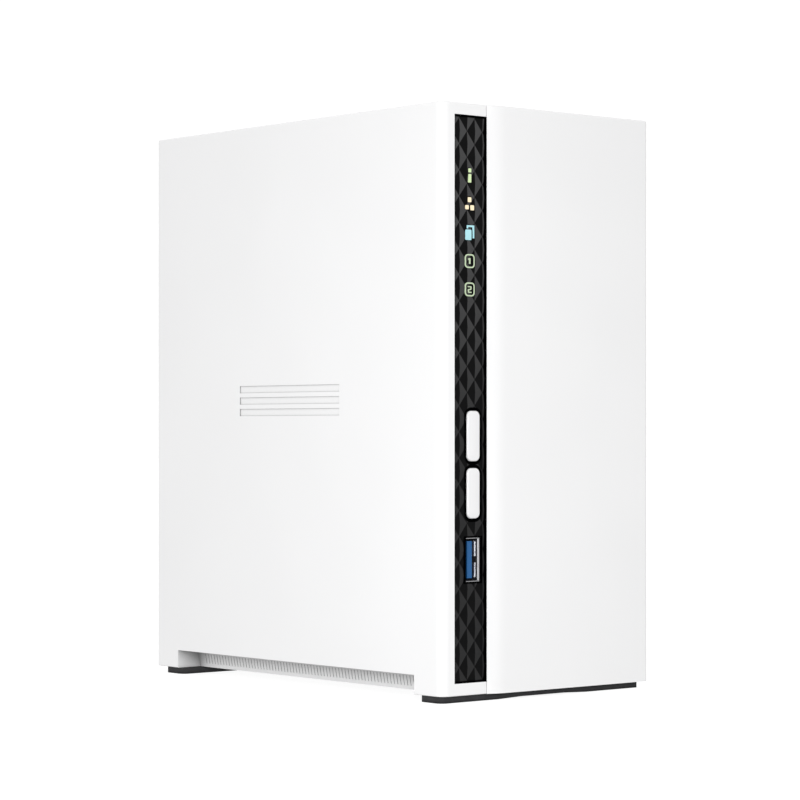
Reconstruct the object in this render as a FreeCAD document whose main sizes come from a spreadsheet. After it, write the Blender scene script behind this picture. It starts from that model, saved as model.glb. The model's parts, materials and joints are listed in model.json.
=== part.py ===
"""Two-bay network storage tower, as a parametric document of separate pieces, in millimetres.

Frame: +Z up, +X to the right and -Y to the front as a person faces it. The origin is the middle of its base.
The tower splits into a main shell (left side, floor and back) and a cover (front, right side and top) that slides
forward off it. A main board stands along the left side, two hard drives stand on end in a steel frame beside it,
and a 60 mm fan blows out of the back.
"""

import FreeCAD, Part
import math
import os
import re
import Sketcher
from FreeCAD import Placement, Rotation, Vector

doc = FreeCAD.newDocument("storage_tower")
sheet = doc.addObject("Spreadsheet::Sheet", "Size")
pieces = []
next_row = 1


def define(section, **cells):
    """Writes one section of driving dimensions to the sheet, each cell with its name as its alias."""
    global next_row
    sheet.set(f"A{next_row}", section)
    for alias, number in cells.items():
        next_row += 1
        sheet.set(f"A{next_row}", alias)
        sheet.set(f"B{next_row}", str(number))
        sheet.setAlias(f"B{next_row}", alias)
    next_row += 2


define("enclosure", width=90.19, depth=156.26, height=188.99, foot_height=2.15, wall=2.4, fit=0.3, seam_from_left=18.8,
       seam_gap=0.3, cover_proud=1.6, cover_front_wall=3.0, soft_edge=6.3, front_corner=3.0, rear_corner=2.0,
       edge_round=0.6, lip=1.6, lip_reach=4.0, rim_reach=8.0, rim_low=35.0, rim_high=158.0)
define("side air intakes", leg_front=13.4, leg_rear=13.2, slot_rise=6.2, vent_top_inset=8.6, vent_foot_inset=9.8,
       vent_wall=1.6, slit_wide=0.25, slit_pitch=1.66, slit_count=73, slit_low=1.3, slit_high=1.6)
define("emblem on the side", emblem_low=90.65, emblem_bar=2.4, emblem_pitch=3.9, emblem_front=25.4,
       emblem_rear=28.6, emblem_deep=0.25)
define("feet", foot_inset=0.5, foot_front=1.0, foot_front_long=10.8, foot_rear=4.7, foot_rear_long=10.8,
       foot_round=2.5, foot_end_round=0.8, foot_pad=10.0, foot_taper=24.0, foot_arch=0.35, foot_relief=0.5)
define("front strip", strip_inset=5.3, strip_low=3.9, strip_high=3.74, strip_recess=1.4, flange=1.5,
       flange_reach=1.0)
define("keys", key_from_left=13.35, key_wide=5.3, key_tall=16.0, key_round=1.8, key_proud=0.25, key_gap=0.25,
       upper_key=83.95, lower_key=65.85, key_flange=0.7, key_flange_thick=0.8, key_stem=1.2, plunger_radius=1.5,
       switch_body=6.0, switch_thick=3.1)
define("lamps", lamp_from_left=12.0, lamp_top=166.05, lamp_pitch=8.95, lamp_count=5, lamp_cell_wide=6.0,
       lamp_cell_tall=7.4, lens_back=1.2, glyph_bar=1.6)
define("front board", front_board_back=10.5, board_thick=1.6, front_board_low=54.5, front_board_high=180.0,
       front_board_half=5.4)
define("main board", board_from_left=16.6, board_front=16.1, board_rear=3.7, board_low=16.0, board_high=146.0,
       tongue_front=6.1, tongue_low=34.0, tongue_high=54.0, post_radius=3.0, post_bore=1.25, post_low=22.0,
       post_high=138.0, post_front=-55.0, post_rear=50.0)
define("usb ports", usb_tall=14.2, usb_thick=6.7, usb_shell=0.4, usb_long=16.0, usb_tongue_tall=11.7,
       usb_tongue_thick=2.0, usb_tongue_off=1.6, usb_tongue_back=0.8, usb_finger_from=2.0, usb_finger_to=6.0,
       usb_finger_thick=0.35, front_usb=44.85, upper_usb=79.0, lower_usb=61.0, front_usb_recess=0.75,
       port_recess=0.25)
define("network and power ports", lan_tall=16.0, lan_deep=13.3, lan_long=21.0, lan_shell=0.35, lan_height=100.0,
       jack_tall=9.4, jack_deep=10.8, jack_long=14.0, jack_bore=3.2, jack_pin=1.0, jack_height=40.0,
       reset_height=119.0, reset_hole=1.2, reset_deep=3.0, lock_height=150.0, lock_wide=3.0, lock_tall=7.0,
       lock_from_left=9.0)
define("fan", fan_size=60.0, fan_deep=25.0, fan_bore=28.6, fan_pitch=50.0, fan_x=7.5, fan_z=122.0, fan_corner=3.5,
       hub_radius=12.5, hub_long=20.0, motor_radius=13.0, motor_thick=3.0, blade_count=7, blade_tip=27.6,
       blade_thick=1.3, grille_radius=27.0, hex_flat=4.2, hex_pitch=5.2)
define("drives", drive_thick=26.1, drive_wide=101.6, drive_long=147.0, drive_base=27.0, drive_front=-62.0,
       bay_left=21.7, bay_right=79.7, plate=1.0, lid=0.8, chamber_radius=47.6, chamber_deep=17.0, drive_board=1.2,
       drive_pocket=2.2, drive_hole_pitch=95.25, drive_hole_low=41.28, drive_hole_high=85.73)
define("drive frame", frame_front=-63.0, frame_rear=41.0, frame_top=176.0, frame_low=24.0, frame_foot=12.0,
       frame_leg=15.0, flange_wide=7.0, frame_post=3.5)
define("drive link board", link_low=17.0, link_front=-50.0, link_rear=28.0, link_left=23.0, link_right=78.0,
       socket_tall=7.6, socket_long=42.0)
define("cover screws", boss_from_right=7.6, boss_low=18.0, boss_high=172.0, boss_radius=3.6, boss_long=13.4,
       screw_radius=1.5, screw_play=0.06, head_radius=3.2, head_thick=1.3, head_sink=1.4, shank_long=8.0)
doc.recompute()

FUNCTIONS = {"sin", "cos", "sqrt"}
LEFT, RIGHT, FRONT, REAR, BASE, TOP = "(-width/2)", "(width/2)", "(-depth/2)", "(depth/2)", "foot_height", "height"
SEAM = f"({LEFT}+seam_from_left)"
MAIN_FRONT = f"({FRONT}+cover_proud)"
IN_LEFT, IN_RIGHT = f"({LEFT}+wall)", f"({RIGHT}-wall)"
IN_FRONT, IN_REAR = f"({MAIN_FRONT}+wall)", f"({REAR}-wall)"
IN_BASE, IN_TOP = f"({BASE}+wall)", f"({TOP}-wall)"
SLOT_FRONT, SLOT_REAR = f"({MAIN_FRONT}+leg_front)", f"({REAR}-leg_rear)"
SLOT_TOP = f"({BASE}+slot_rise)"
STRIP_FACE = f"({MAIN_FRONT}+strip_recess)"
STRIP_BACK = f"({IN_FRONT}+flange)"
KEY_X, LAMP_X = f"({LEFT}+key_from_left)", f"({LEFT}+lamp_from_left)"
FRONT_BOARD = f"({MAIN_FRONT}+front_board_back)"
BOARD = f"({LEFT}+board_from_left)"
MOUTH = f"({REAR}-port_recess)"


def cells(text):
    """An expression written with the sheet's aliases, as FreeCAD reads it."""
    return re.sub(r"[a-z][a-z_]*", lambda m: m.group() if m.group() in FUNCTIONS else "Size." + m.group(), str(text))


def number(text):
    """The value of such an expression."""
    return float(sheet.evalExpression(cells(text)))


def bind(thing, **sizes):
    for name, text in sizes.items():
        thing.setExpression(name.replace("__", "."), cells(text))


def span(middle, length):
    """The two ends of a length centred on a place."""
    return f"({middle})-({length})/2", f"({middle})+({length})/2"


def keep(thing, label):
    """Marks an object as one finished piece; its label names its file."""
    thing.Label = label
    pieces.append(thing)
    return thing


# Features of a PartDesign body. A box feature is given by its ranges in x, y and z, and a round one by its axis.

PLANES = {"X": ("YZ_Plane", 1), "Y": ("XZ_Plane", -1), "Z": ("XY_Plane", 1)}


def origin_feature(body, role):
    return next(feature for feature in body.Origin.OriginFeatures if feature.Role == role)


def sketch(body, name, axis, offset):
    """An empty sketch square to an axis, at a place along it."""
    role, sense = PLANES[axis]
    drawing = body.newObject("Sketcher::SketchObject", name + "_sketch")
    drawing.AttachmentSupport = (origin_feature(body, role), "")
    drawing.MapMode = "FlatFace"
    bind(drawing, AttachmentOffset__Base__z=f"{sense}*({offset})")
    return drawing


def polygon(body, name, axis, offset, points):
    """A closed outline of straight lines through points, each held by two dimensions."""
    drawing = sketch(body, name, axis, offset)
    places = [Vector(number(u), number(v), 0) for u, v in points]
    for i, place in enumerate(places):
        drawing.addGeometry(Part.LineSegment(place, places[(i + 1) % len(places)]))
    for i in range(len(places)):
        drawing.addConstraint(Sketcher.Constraint("Coincident", i, 2, (i + 1) % len(places), 1))
    for i, (u, v) in enumerate(points):
        for kind, text, start in (("DistanceX", u, places[i].x), ("DistanceY", v, places[i].y)):
            index = drawing.addConstraint(Sketcher.Constraint(kind, -1, 1, i, 1, start))
            drawing.setExpression(f"Constraints[{index}]", cells(text))
    return drawing


def rectangle(body, name, axis, offset, u, v):
    return polygon(body, name, axis, offset, [(u[0], v[0]), (u[1], v[0]), (u[1], v[1]), (u[0], v[1])])


def circle(body, name, axis, offset, centre, radius):
    drawing = sketch(body, name, axis, offset)
    middle = Vector(number(centre[0]), number(centre[1]), 0)
    drawing.addGeometry(Part.Circle(middle, Vector(0, 0, 1), number(radius)))
    for kind, text, start in (("DistanceX", centre[0], middle.x), ("DistanceY", centre[1], middle.y)):
        index = drawing.addConstraint(Sketcher.Constraint(kind, -1, 1, 0, 3, start))
        drawing.setExpression(f"Constraints[{index}]", cells(text))
    index = drawing.addConstraint(Sketcher.Constraint("Radius", 0, number(radius)))
    drawing.setExpression(f"Constraints[{index}]", cells(radius))
    return drawing


def extrude(body, kind, name, drawing, axis, length):
    """A Pad or Pocket that runs from its sketch in the axis's positive direction."""
    feature = body.newObject("PartDesign::" + kind, name)
    feature.Profile = drawing
    feature.Reversed = (PLANES[axis][1] > 0) == (kind == "Pocket")
    bind(feature, Length=length)
    return feature


def pad(body, name, x, y, z):
    return extrude(body, "Pad", name, rectangle(body, name, "Z", z[0], x, y), "Z", f"({z[1]})-({z[0]})")


def pocket(body, name, x, y, z):
    return extrude(body, "Pocket", name, rectangle(body, name, "Z", z[0], x, y), "Z", f"({z[1]})-({z[0]})")


def round_pad(body, name, axis, centre, along, radius):
    drawing = circle(body, name, axis, along[0], centre, radius)
    return extrude(body, "Pad", name, drawing, axis, f"({along[1]})-({along[0]})")


def hole(body, name, axis, centre, along, radius):
    drawing = circle(body, name, axis, along[0], centre, radius)
    return extrude(body, "Pocket", name, drawing, axis, f"({along[1]})-({along[0]})")


def pattern(body, name, features, axis, count, pitch):
    """Repeats features along an axis."""
    row = body.newObject("PartDesign::LinearPattern", name)
    row.Originals = features
    row.Direction = (origin_feature(body, axis + "_Axis"), [""])
    bind(row, Occurrences=count, Length=f"({count}-1)*({pitch})")
    body.Tip = row
    return row


def edges_in(shape, along=None, **ranges):
    """Names of the edges that lie inside the given ranges of x, y and z, and run along one axis if it is named."""
    found = []
    for i, edge in enumerate(shape.Edges):
        low, high = edge.BoundBox, edge.BoundBox
        box = {"x": (low.XMin, high.XMax), "y": (low.YMin, high.YMax), "z": (low.ZMin, high.ZMax)}
        inside = all(
            box[a][0] > number(r[0]) - 0.01 and box[a][1] < number(r[1]) + 0.01 for a, r in ranges.items()
        )
        straight = along is None or box[along][1] - box[along][0] > edge.Length - 0.01
        if inside and straight:
            found.append(f"Edge{i + 1}")
    return found


def fillet(body, name, radius, along=None, **ranges):
    """Rounds the edges of the body so far that edges_in finds."""
    doc.recompute()
    base = body.Tip
    feature = body.newObject("PartDesign::Fillet", name)
    feature.Base = (base, edges_in(base.Shape, along, **ranges))
    bind(feature, Radius=radius)
    return feature


def new_body(label):
    return keep(doc.addObject("PartDesign::Body", label), label)


# Solids of the Part workbench, for simple bought-in pieces and for groups of them.

TURNS = {"X": Rotation(Vector(0, 1, 0), 90), "Y": Rotation(Vector(1, 0, 0), -90), "Z": Rotation()}


def block(x, y, z):
    solid = doc.addObject("Part::Box", "block")
    bind(solid, Length=f"({x[1]})-({x[0]})", Width=f"({y[1]})-({y[0]})", Height=f"({z[1]})-({z[0]})",
         Placement__Base__x=x[0], Placement__Base__y=y[0], Placement__Base__z=z[0])
    return solid


def rod(axis, centre, along, radius):
    """A cylinder along an axis; centre gives its two other coordinates in x, y, z order."""
    solid = doc.addObject("Part::Cylinder", "rod")
    solid.Placement = Placement(Vector(), TURNS[axis])
    places = dict(zip([a for a in "XYZ" if a != axis], centre))
    places[axis] = along[0]
    bind(solid, Radius=radius, Height=f"({along[1]})-({along[0]})", Placement__Base__x=places["X"],
         Placement__Base__y=places["Y"], Placement__Base__z=places["Z"])
    return solid


def fuse(solids):
    joined = doc.addObject("Part::MultiFuse", "fuse")
    joined.Shapes = solids
    return joined


def group(solids):
    """Separate solids kept together as one object."""
    together = doc.addObject("Part::Compound", "group")
    together.Links = solids
    return together


def cut(base, tools):
    rest = doc.addObject("Part::Cut", "cut")
    rest.Base = base
    rest.Tool = tools[0] if len(tools) == 1 else group(tools)
    return rest


def screw(axis, centre, head, shank, head_radius="head_radius", radius="screw_radius"):
    """A pan-head screw with a cross recess. head and shank are ranges along the axis, the head's outer face first."""
    ends = sorted((head[0], head[1]), key=number)
    shaft = sorted((shank[0], shank[1]), key=number)
    body = fuse([rod(axis, centre, ends, head_radius), rod(axis, centre, shaft, radius)])
    inward = f"({head[0]})+0.6*(({head[1]})-({head[0]}))"
    recess = sorted((head[0], inward), key=number)
    arms = []
    for long, short in (("2.6", "0.6"), ("0.6", "2.6")):
        sides = [span(centre[0], long), span(centre[1], short)]
        ranges = dict(zip([a for a in "XYZ" if a != axis], sides))
        ranges[axis] = recess
        arms.append(block(ranges["X"], ranges["Y"], ranges["Z"]))
    return cut(body, [fuse(arms)])


# Enclosure

def vent_outline(outer, sign):
    """The section of a side air channel's roof and its sloping vent wall, from the side wall inwards."""
    side = RIGHT if sign < 0 else LEFT

    def inward(text):
        return f"{side}+({sign})*({text})"

    return [(outer, SLOT_TOP), (inward("vent_top_inset"), SLOT_TOP), (inward("vent_foot_inset"), BASE),
            (inward("vent_foot_inset+vent_wall+0.2"), BASE), (inward("vent_foot_inset+vent_wall+0.2"), IN_BASE),
            (inward("vent_foot_inset"), f"{SLOT_TOP}+vent_wall"), (outer, f"{SLOT_TOP}+vent_wall")]


def air_channel(body, name, outer, sign):
    """Opens the floor along one side and closes it again with a roof, a slotted sloping wall and two ends."""
    side = RIGHT if sign < 0 else LEFT
    deep = f"{side}+({sign})*(vent_foot_inset+vent_wall+0.2)"
    across = (outer, deep) if sign > 0 else (deep, outer)
    reach = (f"{side}-1", deep) if sign > 0 else (deep, f"{side}+1")
    pocket(body, name + "_opening", reach, (SLOT_FRONT, SLOT_REAR), (f"{BASE}-1", SLOT_TOP))
    drawing = polygon(body, name + "_roof", "Y", SLOT_FRONT, vent_outline(outer, sign))
    extrude(body, "Pad", name + "_roof", drawing, "Y", f"{SLOT_REAR}-{SLOT_FRONT}")
    pad(body, name + "_front_end", across, (f"{SLOT_FRONT}-vent_wall", SLOT_FRONT), (BASE, f"{SLOT_TOP}+vent_wall"))
    pad(body, name + "_rear_end", across, (SLOT_REAR, f"{SLOT_REAR}+vent_wall"), (BASE, f"{SLOT_TOP}+vent_wall"))


def vent_slits(body):
    """Vertical slits through both sloping vent walls, repeated along the depth."""
    first = f"({SLOT_FRONT}+{SLOT_REAR}-(slit_count-1)*slit_pitch)/2"
    inner, outer = "vent_foot_inset+vent_wall+0.2", "vent_top_inset-1"
    slits = [pocket(body, name, x, span(first, "slit_wide"), (f"{BASE}+slit_low", f"{SLOT_TOP}-slit_high"))
             for name, x in (("left_slit", (f"{LEFT}+{outer}", f"{LEFT}+{inner}")),
                             ("right_slit", (f"{RIGHT}-({inner})", f"{RIGHT}-({outer})")))]
    pattern(body, "slits", slits, "Y", "slit_count", "slit_pitch")


def hex_grille(body):
    """Hexagonal holes on a triangular grid inside a circle, cut through the back wall in one sketch."""
    drawing = sketch(body, "grille", "Y", IN_REAR)
    pitch, corner = number("hex_pitch"), number("hex_flat") / math.sqrt(3)
    rows = int(number("grille_radius") / (pitch * math.sin(math.pi / 3)))
    for row in range(-rows, rows + 1):
        for column in range(-rows - 2, rows + 3):
            x = (column + (row % 2) / 2) * pitch
            z = row * pitch * math.sin(math.pi / 3)
            if math.hypot(x, z) + corner > number("grille_radius"):
                continue
            ring = [Vector(number("fan_x") + x + corner * math.sin(k * math.pi / 3),
                           number("fan_z") + z + corner * math.cos(k * math.pi / 3), 0) for k in range(6)]
            for k in range(6):
                drawing.addGeometry(Part.LineSegment(ring[k], ring[(k + 1) % 6]))
    extrude(body, "Pocket", "grille", drawing, "Y", "wall")


def fan_corners():
    return [(f"fan_x+({i})*fan_pitch/2", f"fan_z+({j})*fan_pitch/2") for i in (-1, 1) for j in (-1, 1)]


def cover_screw_places():
    return [(f"{RIGHT}-boss_from_right", z) for z in ("boss_low", "boss_high")]


def frame_foot_places():
    left, right = f"{LEFT}+bay_left-plate-flange_wide/2", f"{LEFT}+bay_right+plate-flange_wide/2-plate"
    return [(x, y) for x in (left, right) for y in ("frame_front+frame_leg/2", "frame_rear-frame_leg/2")]


def board_post_places():
    return [(y, z) for y in ("post_front", "post_rear") for z in ("post_low", "post_high")]


def main_shell():
    shell = new_body("main_shell")
    edge = f"{SEAM}-seam_gap/2"
    pad(shell, "left_block", (LEFT, edge), (MAIN_FRONT, REAR), (BASE, TOP))
    fillet(shell, "front_corner", "front_corner", "z", x=(LEFT, LEFT), y=(MAIN_FRONT, MAIN_FRONT))
    fillet(shell, "rear_corner", "rear_corner", "z", x=(LEFT, LEFT), y=(REAR, REAR))
    fillet(shell, "top_edge", "edge_round", z=(TOP, TOP), x=(LEFT, f"{edge}-0.5"))
    fillet(shell, "bottom_edge", "edge_round/2", z=(BASE, BASE), x=(LEFT, f"{edge}-0.5"))
    pocket(shell, "inside", (IN_LEFT, f"{SEAM}+1"), (IN_FRONT, IN_REAR), (IN_BASE, IN_TOP))
    floor_edge = f"{IN_RIGHT}-fit"
    pad(shell, "floor", (edge, floor_edge), (f"{FRONT}+cover_front_wall+fit", REAR), (BASE, IN_BASE))
    pad(shell, "back", (edge, floor_edge), (IN_REAR, REAR), (BASE, f"{IN_TOP}-fit"))
    lip_top = f"{IN_TOP}-fit"
    pad(shell, "top_lip_root", (f"{SEAM}-lip_reach", edge), (IN_FRONT, IN_REAR), (f"{lip_top}-lip", IN_TOP))
    pad(shell, "top_lip", (edge, f"{SEAM}+lip_reach"), (f"{STRIP_BACK}+fit", IN_REAR), (f"{lip_top}-lip", lip_top))
    rim = f"{IN_REAR}-rim_reach"
    pad(shell, "top_rim", (f"{SEAM}+lip_reach", floor_edge), (rim, IN_REAR), (f"{lip_top}-lip", lip_top))
    pad(shell, "right_rim", (f"{floor_edge}-lip", floor_edge), (rim, IN_REAR), ("rim_low", "rim_high"))
    air_channel(shell, "left_vent", IN_LEFT, 1)
    air_channel(shell, "right_vent", floor_edge, -1)
    pocket(shell, "strip_window", (f"{LEFT}+strip_inset", f"{SEAM}+1"), (f"{MAIN_FRONT}-1", IN_FRONT),
           (f"{BASE}+strip_low", f"{TOP}-strip_high"))
    for i, (y, z) in enumerate(board_post_places()):
        round_pad(shell, f"board_post_{i}", "X", (y, z), (IN_LEFT, BOARD), "post_radius")
        hole(shell, f"board_post_bore_{i}", "X", (y, z), (f"{BOARD}-8", BOARD), "post_bore")
    for i, (x, y) in enumerate(frame_foot_places()):
        round_pad(shell, f"frame_post_{i}", "Z", (x, y), (IN_BASE, "frame_foot"), "frame_post")
        hole(shell, f"frame_post_bore_{i}", "Z", (x, y), ("frame_foot-6", "frame_foot"), "post_bore")
    through = (f"{IN_REAR}-0.5", f"{REAR}+0.5")
    play = "0.25"
    for name, x, z in rear_port_boxes():
        pocket(shell, name + "_opening", (f"{x[0]}-{play}", f"{x[1]}+{play}"), through,
               (f"{z[0]}-{play}", f"{z[1]}+{play}"))
    hole(shell, "reset_opening", "Y", (f"{BOARD}-reset_deep", "reset_height"), through, "reset_hole")
    pocket(shell, "lock_opening", span(f"{LEFT}+lock_from_left", "lock_wide"), through,
           span("lock_height", "lock_tall"))
    sink = (f"{REAR}-head_sink", f"{REAR}+0.5")
    for i, (x, z) in enumerate(cover_screw_places() + fan_corners()):
        hole(shell, f"screw_opening_{i}", "Y", (x, z), through, "screw_radius+0.2")
        hole(shell, f"screw_seat_{i}", "Y", (x, z), sink, "head_radius+0.3")
    for i in range(3):
        low = f"emblem_low+({i})*emblem_pitch"
        pocket(shell, f"emblem_{i}", (f"{LEFT}-1", f"{LEFT}+emblem_deep"), ("-emblem_front", "emblem_rear"),
               (low, f"{low}+emblem_bar"))
    vent_slits(shell)
    hex_grille(shell)


def side_cover():
    cover = new_body("side_cover")
    edge = f"{SEAM}+seam_gap/2"
    outline = sketch(cover, "block", "Z", BASE)
    names = [(edge, MAIN_FRONT), (f"{SEAM}+soft_edge", FRONT), (RIGHT, FRONT), (RIGHT, REAR), (edge, REAR)]
    places = [Vector(number(u), number(v), 0) for u, v in names]
    run, rise = places[1].x - places[0].x, places[0].y - places[1].y
    radius = (run * run + rise * rise) / (2 * rise)
    middle = Vector(places[1].x, places[1].y + radius, 0)
    start, end = math.atan2(places[0].y - middle.y, places[0].x - middle.x), -math.pi / 2
    outline.addGeometry(Part.ArcOfCircle(Part.Circle(middle, Vector(0, 0, 1), radius), start, end))
    for i in range(1, 5):
        outline.addGeometry(Part.LineSegment(places[i], places[(i + 1) % 5]))
    for i in range(5):
        kind = "Coincident" if i else "Tangent"
        outline.addConstraint(Sketcher.Constraint(kind, i, 2, (i + 1) % 5, 1))
    outline.addConstraint(Sketcher.Constraint("Horizontal", 1))
    outline.addConstraint(Sketcher.Constraint("Vertical", 2))
    outline.addConstraint(Sketcher.Constraint("Horizontal", 3))
    outline.addConstraint(Sketcher.Constraint("Vertical", 4))
    for kind, geometry, text in (("DistanceX", 4, edge), ("DistanceY", 0, MAIN_FRONT), ("DistanceX", 1, names[1][0]),
                                 ("DistanceY", 1, FRONT), ("DistanceX", 3, RIGHT), ("DistanceY", 3, REAR)):
        index = outline.addConstraint(Sketcher.Constraint(kind, -1, 1, geometry, 1, number(text)))
        outline.setExpression(f"Constraints[{index}]", cells(text))
    extrude(cover, "Pad", "block", outline, "Z", f"{TOP}-{BASE}")
    fillet(cover, "front_corner", "rear_corner", "z", x=(RIGHT, RIGHT), y=(FRONT, FRONT))
    fillet(cover, "rear_corner", "rear_corner", "z", x=(RIGHT, RIGHT), y=(REAR, REAR))
    fillet(cover, "top_edge", "edge_round", z=(TOP, TOP), x=(f"{edge}+0.01", RIGHT))
    pocket(cover, "inside", (f"{SEAM}-1", IN_RIGHT), (f"{FRONT}+cover_front_wall", f"{REAR}+1"),
           (f"{BASE}-1", IN_TOP))
    pocket(cover, "slot", (f"{IN_RIGHT}-1", f"{RIGHT}+1"), (SLOT_FRONT, SLOT_REAR), (f"{BASE}-1", SLOT_TOP))
    boss_end = f"{IN_REAR}-fit"
    boss_start = f"{boss_end}-boss_long"
    for i, (x, z) in enumerate(cover_screw_places()):
        round_pad(cover, f"boss_{i}", "Y", (x, z), (boss_start, boss_end), "boss_radius")
        pad(cover, f"boss_web_{i}", (x, f"{IN_RIGHT}+0.1"), (boss_start, boss_end), span(z, "lip*1.5"))
        hole(cover, f"boss_bore_{i}", "Y", (x, z), (f"{boss_start}+2", boss_end), "screw_radius+screw_play")
    for i, y in enumerate((-40, -10, 20)):
        pad(cover, f"top_rib_{i}", (f"{SEAM}+lip_reach+2", IN_RIGHT), span(y, "1.4"), (f"{IN_TOP}-3", f"{IN_TOP}+0.1"))
        pad(cover, f"side_rib_{i}", (f"{IN_RIGHT}-2", f"{IN_RIGHT}+0.1"), span(y, "1.4"), ("20", f"{IN_TOP}+0.1"))


def foot(label, y):
    """A rubber strip across the base, which thins by a gentle slope between its two end pads."""
    strip = new_body(label)
    x = (f"{LEFT}+foot_inset", f"{IN_RIGHT}-fit")
    pad(strip, "strip", x, y, ("0", BASE))
    ends = (f"{x[0]}+foot_pad", f"{x[1]}-foot_pad")
    outline = [(ends[0], "-foot_relief"), (f"{ends[0]}+foot_taper", "foot_arch"),
               (f"{ends[1]}-foot_taper", "foot_arch"), (ends[1], "-foot_relief")]
    drawing = polygon(strip, "arch", "Y", f"{y[0]}-1", outline)
    extrude(strip, "Pocket", "arch", drawing, "Y", f"({y[1]})-({y[0]})+2")
    fillet(strip, "corners", "foot_round", "z", x=(x[0], x[0]))
    fillet(strip, "end_corners", "foot_end_round", "z", x=(x[1], x[1]))


# Front strip with its lamps, keys and port

def glyphs():
    """Boxes that draw each lamp's symbol: x range and z range from the lamp's centre, in order down the strip."""
    bar = "glyph_bar/2"
    ring = [("-2.3", "2.3", "1.75", "2.4"), ("-2.3", "2.3", "-2.4", "-1.75"), ("-2.3", "-1.6", "-2.4", "2.4"),
            ("1.6", "2.3", "-2.4", "2.4")]
    one = [("-0.35", "0.35", "-1.1", "1.1"), ("-0.8", "-0.35", "0.45", "1.1")]
    two = [("-0.8", "0.8", "0.65", "1.15"), ("0.35", "0.8", "-0.1", "0.65"), ("-0.8", "0.8", "-0.3", "0.15"),
           ("-0.8", "-0.35", "-0.75", "-0.3"), ("-0.8", "0.8", "-1.15", "-0.7")]
    return {
        "status_lens": [(f"-{bar}", bar, "1.1", "2.5"), (f"-{bar}", bar, "-2.5", "0.7")],
        "network_lens": [(f"-{bar}", bar, "0.7", "2.3"), ("-2.1", "-0.4", "-2.2", "-0.5"),
                         ("0.4", "2.1", "-2.2", "-0.5")],
        "copy_lens": [("-2.1", "0.9", "-2.7", "1.6"), ("-1.2", "2.1", "2.0", "2.7"), ("1.3", "2.1", "-1.6", "2.7")],
        "drive_one_lens": ring + one,
        "drive_two_lens": ring + two,
    }


def lamp_height(i):
    return f"lamp_top-({i})*lamp_pitch"


def glyph_solids(boxes, i, y):
    return [block((f"{LAMP_X}+{a}", f"{LAMP_X}+{b}"), y, (f"{lamp_height(i)}+{c}", f"{lamp_height(i)}+{d}"))
            for a, b, c, d in boxes]


def lenses():
    for i, (label, boxes) in enumerate(glyphs().items()):
        symbol = glyph_solids(boxes, i, (STRIP_FACE, f"{STRIP_BACK}+0.1"))
        plate = block(span(LAMP_X, "lamp_cell_wide-0.6"), (STRIP_BACK, f"{STRIP_BACK}+lens_back"),
                      span(lamp_height(i), "lamp_cell_tall-0.6"))
        keep(fuse(symbol + [plate]), label)


def front_strip():
    x = (f"{LEFT}+strip_inset+0.1", f"{SEAM}-seam_gap/2")
    z = (f"{BASE}+strip_low+0.1", f"{TOP}-strip_high-0.1")
    plate = block(x, (STRIP_FACE, IN_FRONT), z)
    back = block((f"{x[0]}-flange_reach", f"{SEAM}+lip_reach-1"), (IN_FRONT, STRIP_BACK),
                 (f"{IN_BASE}+0.2", f"{IN_TOP}-fit-lip-0.2"))
    rails = [rod("Y", (LAMP_X, z), (STRIP_BACK, FRONT_BOARD), "2.2") for z in ("104", "front_board_high-4")]
    bores = [rod("Y", (LAMP_X, z), (f"{FRONT_BOARD}-4", f"{FRONT_BOARD}+1"), "0.8")
             for z in ("104", "front_board_high-4")]
    through = (f"{STRIP_FACE}-1", f"{STRIP_BACK}+1")
    tools = [rounded_bar(through, z, "key_gap") for z in ("upper_key", "lower_key")]
    tools.append(block(span(f"{BOARD}-usb_thick/2", "usb_thick+0.5"), through, span("front_usb", "usb_tall+0.6")))
    for i, boxes in enumerate(glyphs().values()):
        tools.append(fuse(glyph_solids(boxes, i, through)))
    keep(cut(fuse([plate, back] + rails), tools + bores), "front_strip")


def rounded_bar(y, z, grow="0"):
    """An upright bar with round corners through the strip, grown by a clearance all round."""
    across, up = "(key_wide/2-key_round)", "(key_tall/2-key_round)"
    corners = [rod("Y", (f"{KEY_X}+({i})*{across}", f"{z}+({j})*{up}"), y, f"key_round+{grow}")
               for i in (-1, 1) for j in (-1, 1)]
    middle = [block(span(KEY_X, f"key_wide+2*{grow}"), y, span(z, f"2*{up}")),
              block(span(KEY_X, f"2*{across}"), y, span(z, f"key_tall+2*{grow}"))]
    return fuse(corners + middle)


def key(name, z):
    """A key cap with its retaining flange and stem, and the switch that it presses."""
    face = f"{MAIN_FRONT}-key_proud"
    flange = (f"{STRIP_BACK}+0.05", f"{STRIP_BACK}+0.05+key_flange_thick")
    switch_face = f"{FRONT_BOARD}-switch_thick"
    plunger_face = f"{switch_face}-0.8"
    stem = rod("Y", (KEY_X, z), (flange[0], plunger_face), "key_stem")
    cap = fuse([rounded_bar((face, flange[1]), z), rounded_bar(flange, z, "key_flange"), stem])
    doc.recompute()
    smooth = doc.addObject("Part::Fillet", name + "_cap")
    smooth.Base = cap
    rim = edges_in(cap.Shape, y=(face, face))
    smooth.Edges = [(int(edge[4:]), 0.5, 0.5) for edge in rim]
    keep(smooth, name + "_button")
    body = block(span(KEY_X, "switch_body"), (switch_face, FRONT_BOARD), span(z, "switch_body"))
    bore = rod("Y", (KEY_X, z), (f"{switch_face}-1", f"{FRONT_BOARD}-1"), "plunger_radius+0.05")
    keep(cut(body, [bore]), name + "_switch")
    keep(rod("Y", (KEY_X, z), (plunger_face, f"{switch_face}+1.2"), "plunger_radius"), name + "_switch_plunger")


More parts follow.
